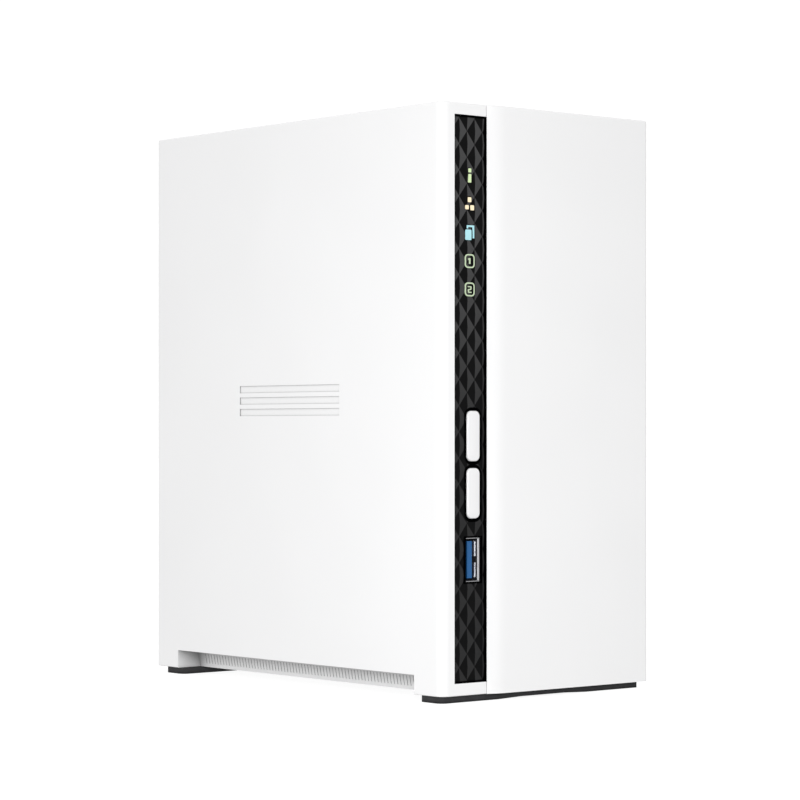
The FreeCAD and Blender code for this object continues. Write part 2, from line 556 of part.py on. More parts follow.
def lamp_shroud():
    """The black block between the strip and the front board that keeps the lamps' light apart."""
    low, high = lamp_height("lamp_count-1"), lamp_height(0)
    body = block(span(LAMP_X, "lamp_cell_wide+2.4"), (f"{STRIP_BACK}", f"{FRONT_BOARD}"),
                 (f"{low}-lamp_pitch/2", f"{high}+lamp_pitch/2"))
    cells_cut = [block(span(LAMP_X, "lamp_cell_wide"), (f"{STRIP_BACK}-1", f"{FRONT_BOARD}+1"),
                       span(lamp_height(i), "lamp_cell_tall")) for i in range(5)]
    keep(cut(body, cells_cut), "lamp_shroud")


def front_board():
    y = (FRONT_BOARD, f"{FRONT_BOARD}+board_thick")
    plate = block(span(LAMP_X, "2*front_board_half"), y, ("front_board_low", "front_board_high"))
    holes = [rod("Y", (LAMP_X, z), (f"{y[0]}-1", f"{y[1]}+1"), "1.1") for z in ("104", "front_board_high-4")]
    keep(cut(plate, holes), "front_board")
    lamps = [block(span(LAMP_X, "1.6"), (f"{FRONT_BOARD}-0.8", FRONT_BOARD), span(lamp_height(i), "0.9"))
             for i in range(5)]
    keep(group(lamps), "indicator_lamps")
    back = f"{FRONT_BOARD}+board_thick"
    socket = block((f"{BOARD}-5", f"{BOARD}-0.8"), (back, f"{back}+2.4"), ("110", "124"))
    header = block((f"{BOARD}-3.4", BOARD), (f"{MAIN_FRONT}+board_front", f"{MAIN_FRONT}+board_front+4"),
                   ("110", "124"))
    pins = [rod("Y", (f"{BOARD}-2.2", f"111.5+({i})*2.2"), (f"{back}+0.4", f"{MAIN_FRONT}+board_front+1"), "0.3")
            for i in range(6)]
    keep(fuse([socket, header] + pins), "front_board_connector")


# Ports

def usb_port(label, z, mouth, toward, thick_from):
    """A metal shell, open at its mouth, and the plastic tongue inside it. toward is the way the mouth faces."""
    end = f"{mouth}-({toward})*usb_long"
    y = (mouth, end) if toward < 0 else (end, mouth)
    x = (f"{thick_from}-usb_thick", thick_from)
    zz = span(z, "usb_tall")
    inner_end = f"{end}+({toward})*usb_shell"
    cavity_y = (f"{mouth}-1", inner_end) if toward < 0 else (inner_end, f"{mouth}+1")
    cavity = block((f"{x[0]}+usb_shell", f"{x[1]}-usb_shell"), cavity_y, (f"{zz[0]}+usb_shell", f"{zz[1]}-usb_shell"))
    finger_y = sorted((f"{mouth}-({toward})*usb_finger_from", f"{mouth}-({toward})*usb_finger_to"), key=number)
    fingers = [block((f"{x[1]}-usb_shell-usb_finger_thick", f"{x[1]}-usb_shell+0.1"), finger_y,
                     span(f"{z}+({s})", "4.4")) for s in (-3.2, 3.2)]
    keep(fuse([cut(block(x, y, zz), [cavity])] + fingers), label + "_shell")
    tongue_mouth = f"{mouth}-({toward})*usb_tongue_back"
    tongue_y = sorted((tongue_mouth, inner_end), key=number)
    root_y = sorted((f"{end}+({toward})*5", inner_end), key=number)
    blade_x = (f"{x[0]}+usb_shell+usb_tongue_off", f"{x[0]}+usb_shell+usb_tongue_off+usb_tongue_thick")
    blade = block(blade_x, tongue_y, span(z, "usb_tongue_tall"))
    root = block((f"{x[0]}+usb_shell", f"{x[1]}-usb_shell"), root_y, (f"{zz[0]}+usb_shell", f"{zz[1]}-usb_shell"))
    keep(fuse([blade, root]), label + "_tongue")


def rear_port_boxes():
    """The name and the x and z ranges of each port that shows through the back wall."""
    return [("lan", (f"{BOARD}-lan_deep", BOARD), span("lan_height", "lan_tall")),
            ("upper_usb", (f"{BOARD}-usb_thick", BOARD), span("upper_usb", "usb_tall")),
            ("lower_usb", (f"{BOARD}-usb_thick", BOARD), span("lower_usb", "usb_tall")),
            ("jack", (f"{BOARD}-jack_deep", BOARD), span("jack_height", "jack_tall"))]


def lan_port():
    x, y, z = (f"{BOARD}-lan_deep", BOARD), (f"{MOUTH}-lan_long", MOUTH), span("lan_height", "lan_tall")
    inner = block((f"{x[0]}+lan_shell", f"{x[1]}-lan_shell"), (f"{y[0]}+lan_shell", f"{y[1]}+1"),
                  (f"{z[0]}+lan_shell", f"{z[1]}-lan_shell"))
    keep(cut(block(x, y, z), [inner]), "lan_port_shell")
    body = block((f"{x[0]}+lan_shell", f"{x[1]}-lan_shell"), (f"{y[0]}+lan_shell", f"{y[1]}-0.3"),
                 (f"{z[0]}+lan_shell", f"{z[1]}-lan_shell"))
    mouth_y = (f"{y[1]}-13", f"{y[1]}+1")
    plug = block((f"{x[1]}-lan_shell-9.6", f"{x[1]}-lan_shell-1.6"), mouth_y, span("lan_height", "11.9"))
    latch = block((f"{x[1]}-lan_shell-11.4", f"{x[1]}-lan_shell-9"), mouth_y, span("lan_height", "6.2"))
    keep(cut(body, [fuse([plug, latch])]), "lan_port_insert")


def power_jack():
    x, y, z = (f"{BOARD}-jack_deep", BOARD), (f"{MOUTH}-jack_long", MOUTH), span("jack_height", "jack_tall")
    centre = (f"{BOARD}-jack_deep/2", "jack_height")
    bore = rod("Y", centre, (f"{MOUTH}-10", f"{MOUTH}+1"), "jack_bore")
    socket = rod("Y", centre, (f"{MOUTH}-12", f"{MOUTH}-9"), "jack_pin")
    keep(cut(block(x, y, z), [bore, socket]), "power_jack")
    keep(rod("Y", centre, (f"{MOUTH}-12", f"{MOUTH}-1.5"), "jack_pin"), "power_jack_pin")


def reset_switch():
    """The small switch behind the pinhole in the back, pressed with a pin."""
    face = f"{IN_REAR}-1.4"
    x = (f"{BOARD}-reset_deep-2", BOARD)
    body = block(x, (f"{face}-4", face), span("reset_height", "6"))
    centre = (f"{BOARD}-reset_deep", "reset_height")
    bore = rod("Y", centre, (f"{face}-2.2", f"{face}+1"), "reset_hole*0.9+0.05")
    keep(cut(body, [bore]), "reset_switch")
    keep(rod("Y", centre, (f"{face}-1.6", f"{face}+0.9"), "reset_hole*0.9"), "reset_plunger")


# Main board and what is soldered to it

def main_board():
    board = new_body("main_board")
    y = (f"{MAIN_FRONT}+board_front", f"{REAR}-board_rear")
    outline = [(y[0], "board_low"), (y[1], "board_low"), (y[1], "board_high"), (y[0], "board_high"),
               (y[0], "tongue_high"), (f"{MAIN_FRONT}+tongue_front", "tongue_high"),
               (f"{MAIN_FRONT}+tongue_front", "tongue_low"), (y[0], "tongue_low")]
    extrude(board, "Pad", "board", polygon(board, "board", "X", BOARD, outline), "X", "board_thick")
    for i, (py, pz) in enumerate(board_post_places()):
        hole(board, f"screw_hole_{i}", "X", (py, pz), (f"{BOARD}-1", f"{BOARD}+board_thick+1"), "1.6")


def on_board(y, z, tall):
    """A flat component on the main board's left face: its y and z ranges, and how far it stands out."""
    return block((f"{BOARD}-({tall})", BOARD), y, z)


def heatsink():
    sink = new_body("heatsink")
    base_x = (f"{BOARD}-1.6-2.0", f"{BOARD}-1.6")
    y, z = span("4", "38"), span("112", "36")
    pad(sink, "plate", base_x, y, z)
    fin = pad(sink, "fin", (f"{base_x[0]}-6.4", base_x[0]), (y[0], f"{y[0]}+1.1"), z)
    pattern(sink, "fins", [fin], "Y", "11", "3.69")


def board_parts():
    keep(on_board(span("4", "19"), span("112", "19"), "1.6"), "processor")
    heatsink()
    chips = [on_board(span(y, "13"), span(z, "9"), "1.1") for y, z in (("-28", "120"), ("-28", "104"))]
    chips.append(on_board(span("4", "11.5"), span("80", "13"), "1.0"))
    chips.append(on_board(span("46", "12"), span("100", "15"), "5"))
    keep(group(chips), "board_chips")
    coils = [on_board(span(f"18+({i})*11", "7"), span("26", "7"), "3") for i in range(3)]
    keep(group(coils), "power_inductors")
    cans = [rod("X", (y, z), (f"{BOARD}-8.5", BOARD), "3.15")
            for y, z in (("48", "36"), ("48", "46"), ("22", "38"), ("34", "38"))]
    keep(group(cans), "capacitors")
    holder = cut(rod("X", ("-34", "60"), (f"{BOARD}-4.6", BOARD), "11.4"),
                 [rod("X", ("-34", "60"), (f"{BOARD}-5", f"{BOARD}-1"), "10.1")])
    keep(holder, "coin_cell_holder")
    keep(rod("X", ("-34", "60"), (f"{BOARD}-4.2", f"{BOARD}-1"), "10"), "coin_cell")
    buzzer = cut(rod("X", ("-10", "36"), (f"{BOARD}-6", BOARD), "5"),
                 [rod("X", ("-10", "36"), (f"{BOARD}-7", f"{BOARD}-5"), "1")])
    keep(buzzer, "buzzer")


def screws():
    heads = f"{BOARD}+board_thick"
    board = [screw("X", place, (f"{heads}+1.3", heads), (f"{BOARD}-6", heads), "2.4", "1.2")
             for place in board_post_places()]
    back = f"{FRONT_BOARD}+board_thick"
    front = [screw("Y", (LAMP_X, z), (f"{back}+1.2", back), (f"{FRONT_BOARD}-3.5", back), "1.9", "0.75")
             for z in ("104", "front_board_high-4")]
    keep(group(board + front), "board_screws")
    seat = f"{REAR}-head_sink"
    cover = [screw("Y", place, (f"{seat}+head_thick", seat), (f"{seat}-shank_long", seat))
             for place in cover_screw_places()]
    keep(group(cover), "cover_screws")
    fan = [screw("Y", place, (f"{seat}+head_thick", seat), (f"{seat}-7", seat)) for place in fan_corners()]
    keep(group(fan), "fan_screws")
    floor = "frame_foot+plate"
    frame = [screw("Z", place, (f"{floor}+1.3", floor), (f"{floor}-6", floor), "2.6", "1.2")
             for place in frame_foot_places()]
    keep(group(frame), "frame_screws")
    drive = []
    for side, x in ((-1, f"{LEFT}+bay_left"), (1, f"{LEFT}+bay_right")):
        for y, z in drive_holes():
            outer = f"{x}+({side})*plate"
            drive.append(screw("X", (y, z), (f"{outer}+({side})*1.1", outer), (f"{x}-({side})*3.4", outer), "3", "1.6"))
    keep(group(drive), "drive_screws")


# Drives, their frame and the board that they plug into

def drive_holes():
    middle = "drive_front+drive_wide/2"
    return [(f"{middle}+({s})*drive_hole_pitch/2", f"drive_base+{z}") for s in (-1, 1)
            for z in ("drive_hole_low", "drive_hole_high")]


def drive(label, outer, side):
    """A 3.5 inch drive standing on its connector end. outer is its board face's place in x, and side points inward."""
    y = ("drive_front", "drive_front+drive_wide")
    z = ("drive_base", "drive_base+drive_long")
    middle = f"({y[0]}+{y[1]})/2"

    def across(start, end):
        return sorted((f"{outer}+({side})*({start})", f"{outer}+({side})*({end})"), key=number)

    case = new_body(label + "_case")
    pad(case, "block", across("0", "drive_thick-lid"), y, z)
    fillet(case, "corners", "3", "x")
    pocket(case, "board_seat", across("-1", "drive_pocket"), span(middle, "86"), (f"{z[0]}-1", f"{z[0]}+100"))
    hole(case, "chamber", "X", (middle, f"{z[1]}-chamber_radius-3"), across("drive_thick-lid-chamber_deep",
                                                                           "drive_thick"), "chamber_radius")
    pocket(case, "arm_bay", across("drive_thick-lid-chamber_deep", "drive_thick"), span(middle, "84"),
           (f"{z[0]}+8", f"{z[0]}+60"))
    for i, (hy, hz) in enumerate(drive_holes()):
        hole(case, f"mounting_hole_{i}", "X", (hy, hz), across("-1", "4"), "1.62")
    cover = new_body(label + "_lid")
    pad(cover, "plate", across("drive_thick-lid", "drive_thick"), (f"{y[0]}+1.5", f"{y[1]}-1.5"),
        (f"{z[0]}+1.5", f"{z[1]}-1.5"))
    fillet(cover, "corners", "3", "x")
    round_pad(cover, "crown", "X", (middle, f"{z[1]}-chamber_radius-3"), across("drive_thick-lid", "drive_thick+0.5"),
              "chamber_radius-6")
    plate = block(across("drive_pocket-drive_board", "drive_pocket"), span(middle, "84"),
                  (f"{z[0]}+0.5", f"{z[0]}+99"))
    chips = [block(across("drive_pocket-drive_board-0.9", "drive_pocket-drive_board"), span(f"{middle}+({u})", w),
                   span(f"{z[0]}+{v}", w)) for u, v, w in ((-12, 48, "14"), (14, 62, "10"), (10, 34, "8"))]
    plug = block(across("0.4", "drive_pocket-drive_board+0.1"), span(middle, "40"), (f"{z[0]}+0.5", f"{z[0]}+6"))
    tongue = block(across("0.9", "2.1"), span(middle, "36"), (f"{z[0]}-4", f"{z[0]}+1"))
    keep(fuse([plate, plug, tongue] + chips), label + "_board")


def drive_frame():
    """Folded steel: two side plates joined by a top plate, on four legs with screwed feet."""
    frame = new_body("drive_frame")
    left = (f"{LEFT}+bay_left-plate", f"{LEFT}+bay_left")
    right = (f"{LEFT}+bay_right", f"{LEFT}+bay_right+plate")
    y = ("frame_front", "frame_rear")
    feet = (f"{left[0]}-flange_wide+plate", left[1]), (f"{right[0]}-flange_wide+plate", right[1])
    for name, x, foot_x in (("left", left, feet[0]), ("right", right, feet[1])):
        pad(frame, name + "_plate", x, y, ("frame_low", "frame_top"))
        for end, leg in (("front", ("frame_front", "frame_front+frame_leg")),
                         ("rear", ("frame_rear-frame_leg", "frame_rear"))):
            pad(frame, f"{name}_{end}_leg", x, leg, ("frame_foot", "frame_low"))
            pad(frame, f"{name}_{end}_foot", foot_x, leg, ("frame_foot", "frame_foot+plate"))
    pad(frame, "top_plate", (left[0], right[1]), y, ("frame_top-plate", "frame_top"))
    for name, place in (("front", "link_front"), ("rear", "link_rear")):
        pad(frame, name + "_bridge", (left[0], right[1]), span(place, "8"), ("link_low-plate", "link_low"))
    for name, x in (("left", left), ("right", right)):
        for i, (hy, hz) in enumerate(drive_holes()):
            hole(frame, f"{name}_drive_hole_{i}", "X", (hy, hz), (f"{x[0]}-1", f"{x[1]}+1"), "1.8")
        pocket(frame, name + "_window", (f"{x[0]}-1", f"{x[1]}+1"), ("frame_front+26", "frame_rear-26"), ("128", "158"))
    for i, (fx, fy) in enumerate(frame_foot_places()):
        hole(frame, f"foot_hole_{i}", "Z", (fx, fy), ("frame_foot-1", "frame_foot+plate+1"), "1.5")
    pocket(frame, "top_window", (f"{left[1]}+14", f"{right[0]}-14"), ("frame_front+20", "frame_rear-20"),
           ("frame_top-plate-1", "frame_top+1"))


def drive_link():
    low, high = "link_low", "link_low+board_thick"
    x = (f"{LEFT}+link_left", f"{LEFT}+link_right")
    face = f"{BOARD}+board_thick"
    plate = block(x, ("link_front", "link_rear"), (low, high))
    tongue = block((f"{face}+1.3", x[0]), ("-29.8", "-8.2"), (low, high))
    keep(fuse([plate, tongue]), "drive_link_board")
    middle = "drive_front+drive_wide/2"
    sockets = []
    for outer, side in ((f"{LEFT}+bay_left", 1), (f"{LEFT}+bay_right", -1)):
        def across(start, end):
            return sorted((f"{outer}+({side})*({start})", f"{outer}+({side})*({end})"), key=number)
        slot = block(across("0.6", "2.4"), span(middle, "36.6"), (f"{high}+2", f"{high}+socket_tall+1"))
        body = block(across("0.8", "4.6"), span(middle, "socket_long"), (high, f"{high}+socket_tall"))
        wall = block(across("-0.4", "0.8"), span(middle, "socket_long"), (high, f"{high}+socket_tall-3"))
        sockets.append(cut(fuse([body, wall]), [slot]))
    keep(group(sockets), "drive_sockets")
    socket = block((face, f"{face}+2.9"), ("-33", "-5"), (f"{low}-3", f"{high}+3"))
    opening = block((f"{face}+1.2", f"{face}+4"), ("-30", "-8"), (f"{low}-0.05", f"{high}+0.05"))
    keep(cut(socket, [opening]), "riser_socket")


# Fan

def fan_frame():
    frame = new_body("fan_frame")
    y = (f"{IN_REAR}-fan_deep", IN_REAR)
    pad(frame, "block", span("fan_x", "fan_size"), y, span("fan_z", "fan_size"))
    fillet(frame, "corners", "fan_corner", "y")
    hole(frame, "bore", "Y", ("fan_x", "fan_z"), (f"{y[0]}-1", f"{y[1]}+1"), "fan_bore")
    round_pad(frame, "motor_plate", "Y", ("fan_x", "fan_z"), (y[0], f"{y[0]}+motor_thick"), "motor_radius")
    pad(frame, "upright_struts", span("fan_x", "4"), (y[0], f"{y[0]}+motor_thick"), span("fan_z", "fan_size-1"))
    pad(frame, "level_struts", span("fan_x", "fan_size-1"), (y[0], f"{y[0]}+motor_thick"), span("fan_z", "4"))
    round_pad(frame, "bearing_tube", "Y", ("fan_x", "fan_z"), (f"{y[0]}+1", f"{y[0]}+16"), "3.6")
    hole(frame, "bearing_bore", "Y", ("fan_x", "fan_z"), (f"{y[0]}+2", f"{y[0]}+17"), "1.55")
    for i, (x, z) in enumerate(fan_corners()):
        hole(frame, f"corner_hole_{i}", "Y", (x, z), (f"{y[0]}-1", f"{y[1]}+1"), "2.15")


def fan_rotor():
    """A cup on a shaft with seven pitched blades, turning about Y."""
    start = number(f"{IN_REAR}-fan_deep+motor_thick+1.2")
    hub_long, hub_radius = number("hub_long"), number("hub_radius")
    cup = Part.makeCylinder(hub_radius, hub_long, Vector(0, start, 0), Vector(0, 1, 0))
    hollow = Part.makeCylinder(hub_radius - 1.4, hub_long - 1.6, Vector(0, start - 0.01, 0), Vector(0, 1, 0))
    shaft = Part.makeCylinder(1.5, hub_long - 4, Vector(0, start - 1, 0), Vector(0, 1, 0))
    rotor = cup.cut(hollow).fuse(shaft.fuse(Part.makeCylinder(1.5, 4, Vector(0, start + 15, 0), Vector(0, 1, 0))))
    count, thick = int(number("blade_count")), number("blade_thick")
    sections = []
    for radius, pitch, chord in ((hub_radius - 0.7, 52, 17.5), (20, 42, 19.5), (number("blade_tip"), 33, 21)):
        half, along = chord / 2, thick / 2
        corners = [Vector(-half, -along, 0), Vector(half, -along, 0), Vector(half, along, 0), Vector(-half, along, 0)]
        turned = [Rotation(Vector(0, 0, 1), pitch).multVec(p) for p in corners]
        places = [Vector(p.x, start + hub_long / 2 + p.y, radius) for p in turned]
        sections.append(Part.makePolygon(places + places[:1]))
    blade = Part.makeLoft(sections, True, False)
    within = Part.makeCylinder(number("blade_tip") - 0.4, hub_long - 0.6, Vector(0, start + 0.3, 0), Vector(0, 1, 0))
    blade = blade.common(within)
    for i in range(count):
        turned = blade.copy()
        turned.rotate(Vector(0, 0, 0), Vector(0, 1, 0), 360 * i / count)
        rotor = rotor.fuse(turned)
    solid = doc.addObject("Part::Feature", "fan_rotor")
    solid.Shape = rotor.removeSplitter()
    bind(solid, Placement__Base__x="fan_x", Placement__Base__z="fan_z")
    keep(solid, "fan_rotor")


def fan_lead():
    """Three wires from the fan's top over the edge of the main board to a header on its left face."""
    wire_radius, bend = 0.6, 4.5
    low, high = number("fan_z+fan_size/2"), number("fan_z+fan_size/2+8")
    start_x, end_x, end_z = number("fan_x-fan_size/2+2.4"), number(f"{BOARD}-3.4"), number("board_high-8")
    y = number(f"{IN_REAR}-12")
    turn = bend * (1 - math.cos(math.pi / 4))
    runs = [
        Part.LineSegment(Vector(start_x, y, low), Vector(start_x, y, high - bend)),
        Part.Arc(Vector(start_x, y, high - bend), Vector(start_x - turn, y, high - turn),
                 Vector(start_x - bend, y, high)),
        Part.LineSegment(Vector(start_x - bend, y, high), Vector(end_x + bend, y, high)),
        Part.Arc(Vector(end_x + bend, y, high), Vector(end_x + turn, y, high - turn), Vector(end_x, y, high - bend)),
        Part.LineSegment(Vector(end_x, y, high - bend), Vector(end_x, y, end_z)),
    ]
    path = Part.Wire([run.toShape() for run in runs])
    section = Part.Wire([Part.Circle(Vector(start_x, y, low), Vector(0, 0, 1), wire_radius).toShape()])
    wire = path.makePipeShell([section], True, False)
    wires = []
    for i in (-1, 0, 1):
        copy = wire.copy()
        copy.translate(Vector(0, i * 2.1 * wire_radius, 0))
        wires.append(copy)
    solid = doc.addObject("Part::Feature", "fan_lead")
    solid.Shape = Part.makeCompound(wires)
    keep(solid, "fan_lead")
    print("fan lead: volume", round(wire.Volume, 2), "section times length",
          round(math.pi * wire_radius ** 2 * path.Length, 2), "radius", bend)
    plug = block((f"{BOARD}-6", BOARD), span(f"{IN_REAR}-12", "7.6"), ("board_high-14", "board_high-8"))
    keep(plug, "fan_plug")


main_shell()
side_cover()
foot("front_foot", (f"{MAIN_FRONT}+foot_front", f"{MAIN_FRONT}+foot_front+foot_front_long"))
foot("rear_foot", (f"{REAR}-foot_rear-foot_rear_long", f"{REAR}-foot_rear"))
lenses()
front_strip()
key("power", "upper_key")
key("copy", "lower_key")
lamp_shroud()
front_board()
usb_port("front_usb", "front_usb", f"{MAIN_FRONT}+front_usb_recess", -1, BOARD)
usb_port("upper_usb", "upper_usb", MOUTH, 1, BOARD)
usb_port("lower_usb", "lower_usb", MOUTH, 1, BOARD)
lan_port()
power_jack()
reset_switch()
main_board()
board_parts()
drive("drive_one", f"{LEFT}+bay_left", 1)
drive("drive_two", f"{LEFT}+bay_right", -1)
drive_frame()
drive_link()
fan_frame()
fan_rotor()
fan_lead()
screws()
doc.recompute()

failed = [thing.Label for thing in doc.Objects if {"Invalid", "Error"} & set(thing.State)]
bad = [piece.Label for piece in pieces if piece.Shape.isNull() or not piece.Shape.isValid()]
if failed or bad:
    raise SystemExit(f"failed: {failed}; bad shapes: {bad}")
os.makedirs("parts", exist_ok=True)
for old in os.listdir("parts"):
    os.remove(os.path.join("parts", old))
for piece in pieces:
    piece.Shape.exportStep(f"parts/{piece.Label}.step")
print(len(pieces), "pieces written")
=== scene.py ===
"""Looks of the two-bay network storage tower: materials for its CAD nodes, and the detailed pieces on them.

All sizes are in metres, in the frame of the CAD model: +Z up, -Y to the front, and the origin at the middle of the
base. Places come from the nodes' boxes.
"""

import json
import math

import bmesh
import bpy
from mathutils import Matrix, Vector


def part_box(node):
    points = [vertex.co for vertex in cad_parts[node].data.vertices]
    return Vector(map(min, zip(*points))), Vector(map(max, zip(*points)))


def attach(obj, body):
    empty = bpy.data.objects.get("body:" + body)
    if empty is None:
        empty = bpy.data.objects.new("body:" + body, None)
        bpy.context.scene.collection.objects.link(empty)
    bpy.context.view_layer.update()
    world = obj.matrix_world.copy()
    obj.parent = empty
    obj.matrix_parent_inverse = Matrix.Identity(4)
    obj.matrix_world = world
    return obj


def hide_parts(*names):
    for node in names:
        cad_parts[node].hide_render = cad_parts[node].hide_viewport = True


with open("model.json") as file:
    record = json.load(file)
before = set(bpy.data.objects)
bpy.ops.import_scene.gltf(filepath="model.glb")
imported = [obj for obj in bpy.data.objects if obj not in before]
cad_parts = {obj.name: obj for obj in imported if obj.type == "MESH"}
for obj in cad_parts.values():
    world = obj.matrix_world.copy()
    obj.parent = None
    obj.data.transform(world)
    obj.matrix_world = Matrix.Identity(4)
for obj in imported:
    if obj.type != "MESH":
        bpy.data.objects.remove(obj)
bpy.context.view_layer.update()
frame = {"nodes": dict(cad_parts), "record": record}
MM = 0.001
scene = bpy.context.scene


# Materials. Each is a Principled shader with fine procedural relief at the scale of the real surface.

class Nodes:
    """A material's node tree, with short calls for the few kinds of node that these materials use."""

    def __init__(self, name, color, roughness, metallic=0.0):
        self.material = bpy.data.materials.new(name)
        self.material.use_nodes = True
        self.tree = self.material.node_tree
        self.shader = self.tree.nodes["Principled BSDF"]
        self.shader.inputs["Base Color"].default_value = (*color, 1.0)
        self.shader.inputs["Roughness"].default_value = roughness
        self.shader.inputs["Metallic"].default_value = metallic
        self.places = self.tree.nodes.new("ShaderNodeTexCoord").outputs["Object"]
        self.relief = None

    def link(self, start, end):
        self.tree.links.new(start, end)

    def stretched(self, scale):
        """Object coordinates stretched by a factor on each axis, for a brushed or drawn surface."""
        mapping = self.tree.nodes.new("ShaderNodeMapping")
        mapping.inputs["Scale"].default_value = scale
        self.link(self.places, mapping.inputs["Vector"])
        return mapping.outputs["Vector"]

    def noise(self, size, detail=2.0, places=None):
        """Noise whose grains are about size metres across."""
        noise = self.tree.nodes.new("ShaderNodeTexNoise")
        noise.inputs["Scale"].default_value = 1.0 / size
        noise.inputs["Detail"].default_value = detail
        self.link(places or self.places, noise.inputs["Vector"])
        return noise.outputs["Fac"]

    def spread(self, value, low, high):
        """Maps a 0 to 1 value onto a range."""
        ramp = self.tree.nodes.new("ShaderNodeMapRange")
        ramp.inputs["From Min"].default_value = 0.3
        ramp.inputs["From Max"].default_value = 0.7
        ramp.inputs["To Min"].default_value = low
        ramp.inputs["To Max"].default_value = high
        self.link(value, ramp.inputs["Value"])
        return ramp.outputs["Result"]

    def vary_color(self, value, dark, light):
        """Mixes the base colour between two colours by a value."""
        mix = self.tree.nodes.new("ShaderNodeMix")
        mix.data_type = "RGBA"
        mix.inputs["A"].default_value = (*dark, 1.0)
        mix.inputs["B"].default_value = (*light, 1.0)
        self.link(value, mix.inputs["Factor"])
        self.link(mix.outputs["Result"], self.shader.inputs["Base Color"])

    def paint_corner_shade(self, reach, least, closed=0.15, clear=0.6, own=False):
        """Paints shade into the base colour where surfaces, or only the object's own, stand near, as in grooves and
        overhangs.
        """
        tree, target = self.tree, self.shader.inputs["Base Color"]
        nearby = tree.nodes.new("ShaderNodeAmbientOcclusion")
        nearby.samples = 8
        nearby.only_local = own
        nearby.inputs["Distance"].default_value = reach
        share = tree.nodes.new("ShaderNodeMapRange")
        share.inputs["From Min"].default_value = closed
        share.inputs["From Max"].default_value = clear
        share.inputs["To Min"].default_value = least
        self.link(nearby.outputs["AO"], share.inputs["Value"])
        mix = tree.nodes.new("ShaderNodeMix")
        mix.data_type = "RGBA"
        mix.inputs["A"].default_value = (0.0, 0.0, 0.0, 1.0)
        self.link(target.links[0].from_socket, mix.inputs["B"])
        self.link(share.outputs["Result"], mix.inputs["Factor"])
        self.link(mix.outputs["Result"], target)

    def vary_roughness(self, value, low, high):
        self.link(self.spread(value, low, high), self.shader.inputs["Roughness"])

    def bump(self, value, depth, strength=1.0):
        """Adds relief of about depth metres on top of any relief so far."""
        bump = self.tree.nodes.new("ShaderNodeBump")
        bump.inputs["Distance"].default_value = depth
        bump.inputs["Strength"].default_value = strength
        self.link(value, bump.inputs["Height"])
        if self.relief:
            self.link(self.relief, bump.inputs["Normal"])
        self.relief = bump.outputs["Normal"]
        self.link(self.relief, self.shader.inputs["Normal"])


def shade(color, factor):
    return tuple(min(1.0, channel * factor) for channel in color)


def moulded_plastic(name, color, roughness, grain, depth, coat=0.0, specular=0.5, corners=None):
    """Plastic with an even spark-eroded grain, faint flow marks and slightly uneven gloss; given corner values, it also
    has painted shade in its corners and recesses.
    """
    made = Nodes(name, color, roughness)
    fine = made.noise(grain * MM, 3.0)
    broad = made.noise(35 * MM, 1.0)
    made.vary_color(made.spread(broad, 0.0, 1.0), shade(color, 0.985), shade(color, 1.0))
    # Painted shade: the base colour darkens where surfaces stand close.
    if corners:
        made.paint_corner_shade(*corners)
    made.vary_roughness(fine, roughness * 0.9, roughness * 1.12)
    made.bump(fine, depth * MM)
    made.bump(broad, 0.03 * MM, 0.5)
    made.shader.inputs["Specular IOR Level"].default_value = specular
    made.shader.inputs["Coat Weight"].default_value = coat
    made.shader.inputs["Coat Roughness"].default_value = 0.08
    return made.material


def plastic_with_painted_top_light(name, low_color, high_color, low, high, roughness):
    """Satin plastic with painted light: paler towards the top, between two heights in metres."""
    made = Nodes(name, high_color, roughness)
    split = made.tree.nodes.new("ShaderNodeSeparateXYZ")
    made.link(made.places, split.inputs["Vector"])
    ramp = made.tree.nodes.new("ShaderNodeMapRange")
    ramp.interpolation_type = "SMOOTHSTEP"
    ramp.inputs["From Min"].default_value = low
    ramp.inputs["From Max"].default_value = high
    made.link(split.outputs["Z"], ramp.inputs["Value"])
    made.vary_color(ramp.outputs["Result"], low_color, high_color)
    fine = made.noise(0.2 * MM, 3.0)
    made.vary_roughness(fine, roughness * 0.9, roughness * 1.12)
    made.bump(fine, 0.003 * MM)
    made.shader.inputs["Specular IOR Level"].default_value = 0.08
    return made.material


def brushed_metal(name, color, roughness, along="Z"):
    """Sheet metal with fine drawn lines along one axis."""
    made = Nodes(name, color, roughness, metallic=1.0)
    scale = {"X": (0.04, 1, 1), "Y": (1, 0.04, 1), "Z": (1, 1, 0.04)}[along]
    lines = made.noise(0.18 * MM, 3.0, made.stretched(scale))
    clouds = made.noise(9 * MM, 3.0)
    made.vary_color(made.spread(clouds, 0.0, 1.0), shade(color, 0.86), color)
    made.vary_roughness(lines, roughness * 0.75, roughness * 1.3)
    made.bump(lines, 0.006 * MM)
    return made.material


def cast_metal(name, color, roughness):
    """Die-cast metal with a pebbled skin."""
    made = Nodes(name, color, roughness, metallic=1.0)
    skin = made.noise(0.7 * MM, 4.0)
    made.vary_color(made.spread(made.noise(6 * MM), 0.0, 1.0), shade(color, 0.85), color)
    made.vary_roughness(skin, roughness * 0.8, roughness * 1.2)
    made.bump(skin, 0.05 * MM)
    return made.material


def rubber(name, color):
    """Matt moulded rubber with a fine pitted skin, and painted shade where the body overhangs it and in its grooves."""
    made = Nodes(name, color, 0.75)
    pits = made.noise(0.35 * MM, 4.0)
    made.vary_color(made.spread(made.noise(4 * MM), 0.0, 1.0), shade(color, 0.8), shade(color, 1.15))
    # Painted shade under the body's edge and in grooves.
    made.paint_corner_shade(1.6 * MM, 0.1, 0.45, 0.95)
    made.shader.inputs["Specular IOR Level"].default_value = 0.2
    made.vary_roughness(pits, 0.62, 0.88)
    made.bump(pits, 0.04 * MM)
    return made.material


